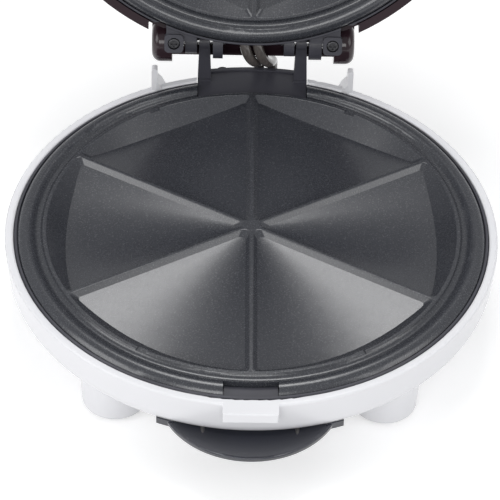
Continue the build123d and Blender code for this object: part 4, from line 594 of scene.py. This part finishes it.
def studio_world(light_level):
    """White where it is seen, and an even light elsewhere."""
    world = bpy.data.worlds.new("studio_air")
    world.use_nodes = True
    tree = world.node_tree
    tree.nodes.clear()
    seen = tree.nodes.new("ShaderNodeBackground")
    seen.inputs["Color"].default_value = WHITE
    seen.inputs["Strength"].default_value = 1.0
    lit = tree.nodes.new("ShaderNodeBackground")
    lit.inputs["Color"].default_value = AIR_COLOUR
    lit.inputs["Strength"].default_value = light_level
    mix = tree.nodes.new("ShaderNodeMixShader")
    out = tree.nodes.new("ShaderNodeOutputWorld")
    tree.links.new(any_ray(tree, ("Is Camera Ray", "Is Transmission Ray")), mix.inputs["Fac"])
    tree.links.new(lit.outputs["Background"], mix.inputs[1])
    tree.links.new(seen.outputs["Background"], mix.inputs[2])
    tree.links.new(mix.outputs["Shader"], out.inputs["Surface"])
    return world


def lay_floor(scene):
    mesh = bpy.data.meshes.new("studio_floor")
    shape = bmesh.new()
    bmesh.ops.create_grid(shape, x_segments=1, y_segments=1, size=FLOOR_HALF_WIDTH)
    bmesh.ops.translate(shape, verts=shape.verts, vec=FLOOR_SHIFT)
    shape.to_mesh(mesh)
    shape.free()
    floor = bpy.data.objects.new("studio_floor", mesh)
    scene.collection.objects.link(floor)
    mesh.materials.append(white_floor())


def hang_soft_box(scene, name, place, width, depth, power):
    """A rectangular lamp that faces the aim."""
    light = bpy.data.lights.new(name, "AREA")
    light.shape = "RECTANGLE"
    light.size = width
    light.size_y = depth
    light.energy = power
    lamp = bpy.data.objects.new(name, light)
    scene.collection.objects.link(lamp)
    lamp.location = place
    lamp.rotation_euler = (AIM - Vector(place)).to_track_quat("-Z", "Y").to_euler()


def place_camera(scene, settings):
    """Camera that faces the aim, rolled by its tilt, and turned the other way than the maker is."""
    lift = settings.elevation
    roll = settings.tilt
    forward = Vector((0, cos(lift), -sin(lift)))
    level_right = Vector((1, 0, 0))
    level_up = Vector((0, sin(lift), cos(lift)))
    right = level_right * cos(roll) + level_up * sin(roll)
    up = level_up * cos(roll) - level_right * sin(roll)
    pose = Matrix((right, up, -forward)).transposed().to_4x4()
    pose.translation = [-part * settings.distance for part in forward]
    lens = bpy.data.cameras.new("picture_camera")
    lens.lens = settings.lens
    lens.sensor_width = SENSOR_WIDTH
    lens.shift_x = PICTURE_SHIFT_X / PICTURE_SIDE
    lens.shift_y = PICTURE_SHIFT_Y / PICTURE_SIDE
    lens.clip_start = NEAR_CLIP
    camera = bpy.data.objects.new("picture_camera", lens)
    scene.collection.objects.link(camera)
    camera.matrix_world = Matrix.Translation(AIM) @ Matrix.Rotation(-settings.turn, 4, "Z") @ pose
    scene.camera = camera


class QUESADILLA_OT_studio(bpy.types.Operator):
    """Floor, lights and the camera of the product picture"""

    bl_idname = "quesadilla.studio"
    bl_label = "Studio"

    def execute(self, context):
        scene = context.scene
        settings = scene.quesadilla_studio
        scene.view_settings.view_transform = "Standard"
        scene.world = studio_world(settings.air)
        lay_floor(scene)
        for name, place, width, depth, factor in SOFT_BOXES:
            hang_soft_box(scene, name, place, width, depth, settings.key * factor)
        place_camera(scene, settings)
        return {"FINISHED"}


class QUESADILLA_PT_sidebar(bpy.types.Panel):
    """Lists the settings and the steps that finish the quesadilla maker"""

    bl_idname = "QUESADILLA_PT_sidebar"
    bl_label = "Quesadilla maker"
    bl_space_type = "VIEW_3D"
    bl_region_type = "UI"
    bl_category = "Quesadilla"

    def draw(self, context):
        layout = self.layout
        for holder, group in GROUPS:
            settings = getattr(context.scene, holder)
            for name in group.__annotations__:
                layout.prop(settings, name)
        for step in STEPS:
            layout.operator(step.bl_idname)


STEPS = (
    QUESADILLA_OT_base_shell,
    QUESADILLA_OT_plates,
    QUESADILLA_OT_frames,
    QUESADILLA_OT_handles,
    QUESADILLA_OT_lid_shell,
    QUESADILLA_OT_heating,
    QUESADILLA_OT_fasteners,
    QUESADILLA_OT_leads,
    QUESADILLA_OT_studio,
)
GROUPS = (
    ("quesadilla_finish", QuesadillaFinish),
    ("quesadilla_leads", QuesadillaLeads),
    ("quesadilla_studio", QuesadillaStudio),
)


def register():
    for name, group in GROUPS:
        bpy.utils.register_class(group)
        setattr(bpy.types.Scene, name, bpy.props.PointerProperty(type=group))
    for step in STEPS:
        bpy.utils.register_class(step)
    bpy.utils.register_class(QUESADILLA_PT_sidebar)


def unregister():
    bpy.utils.unregister_class(QUESADILLA_PT_sidebar)
    for step in reversed(STEPS):
        bpy.utils.unregister_class(step)
    for name, group in reversed(GROUPS):
        delattr(bpy.types.Scene, name)
        bpy.utils.unregister_class(group)


def main():
    register()
    bpy.ops.quesadilla.base_shell()
    bpy.ops.quesadilla.plates()
    bpy.ops.quesadilla.frames()
    bpy.ops.quesadilla.handles()
    bpy.ops.quesadilla.lid_shell()
    bpy.ops.quesadilla.heating()
    bpy.ops.quesadilla.fasteners()
    bpy.ops.quesadilla.leads()
    bpy.ops.quesadilla.studio()


if __name__ == "__main__":
    main()
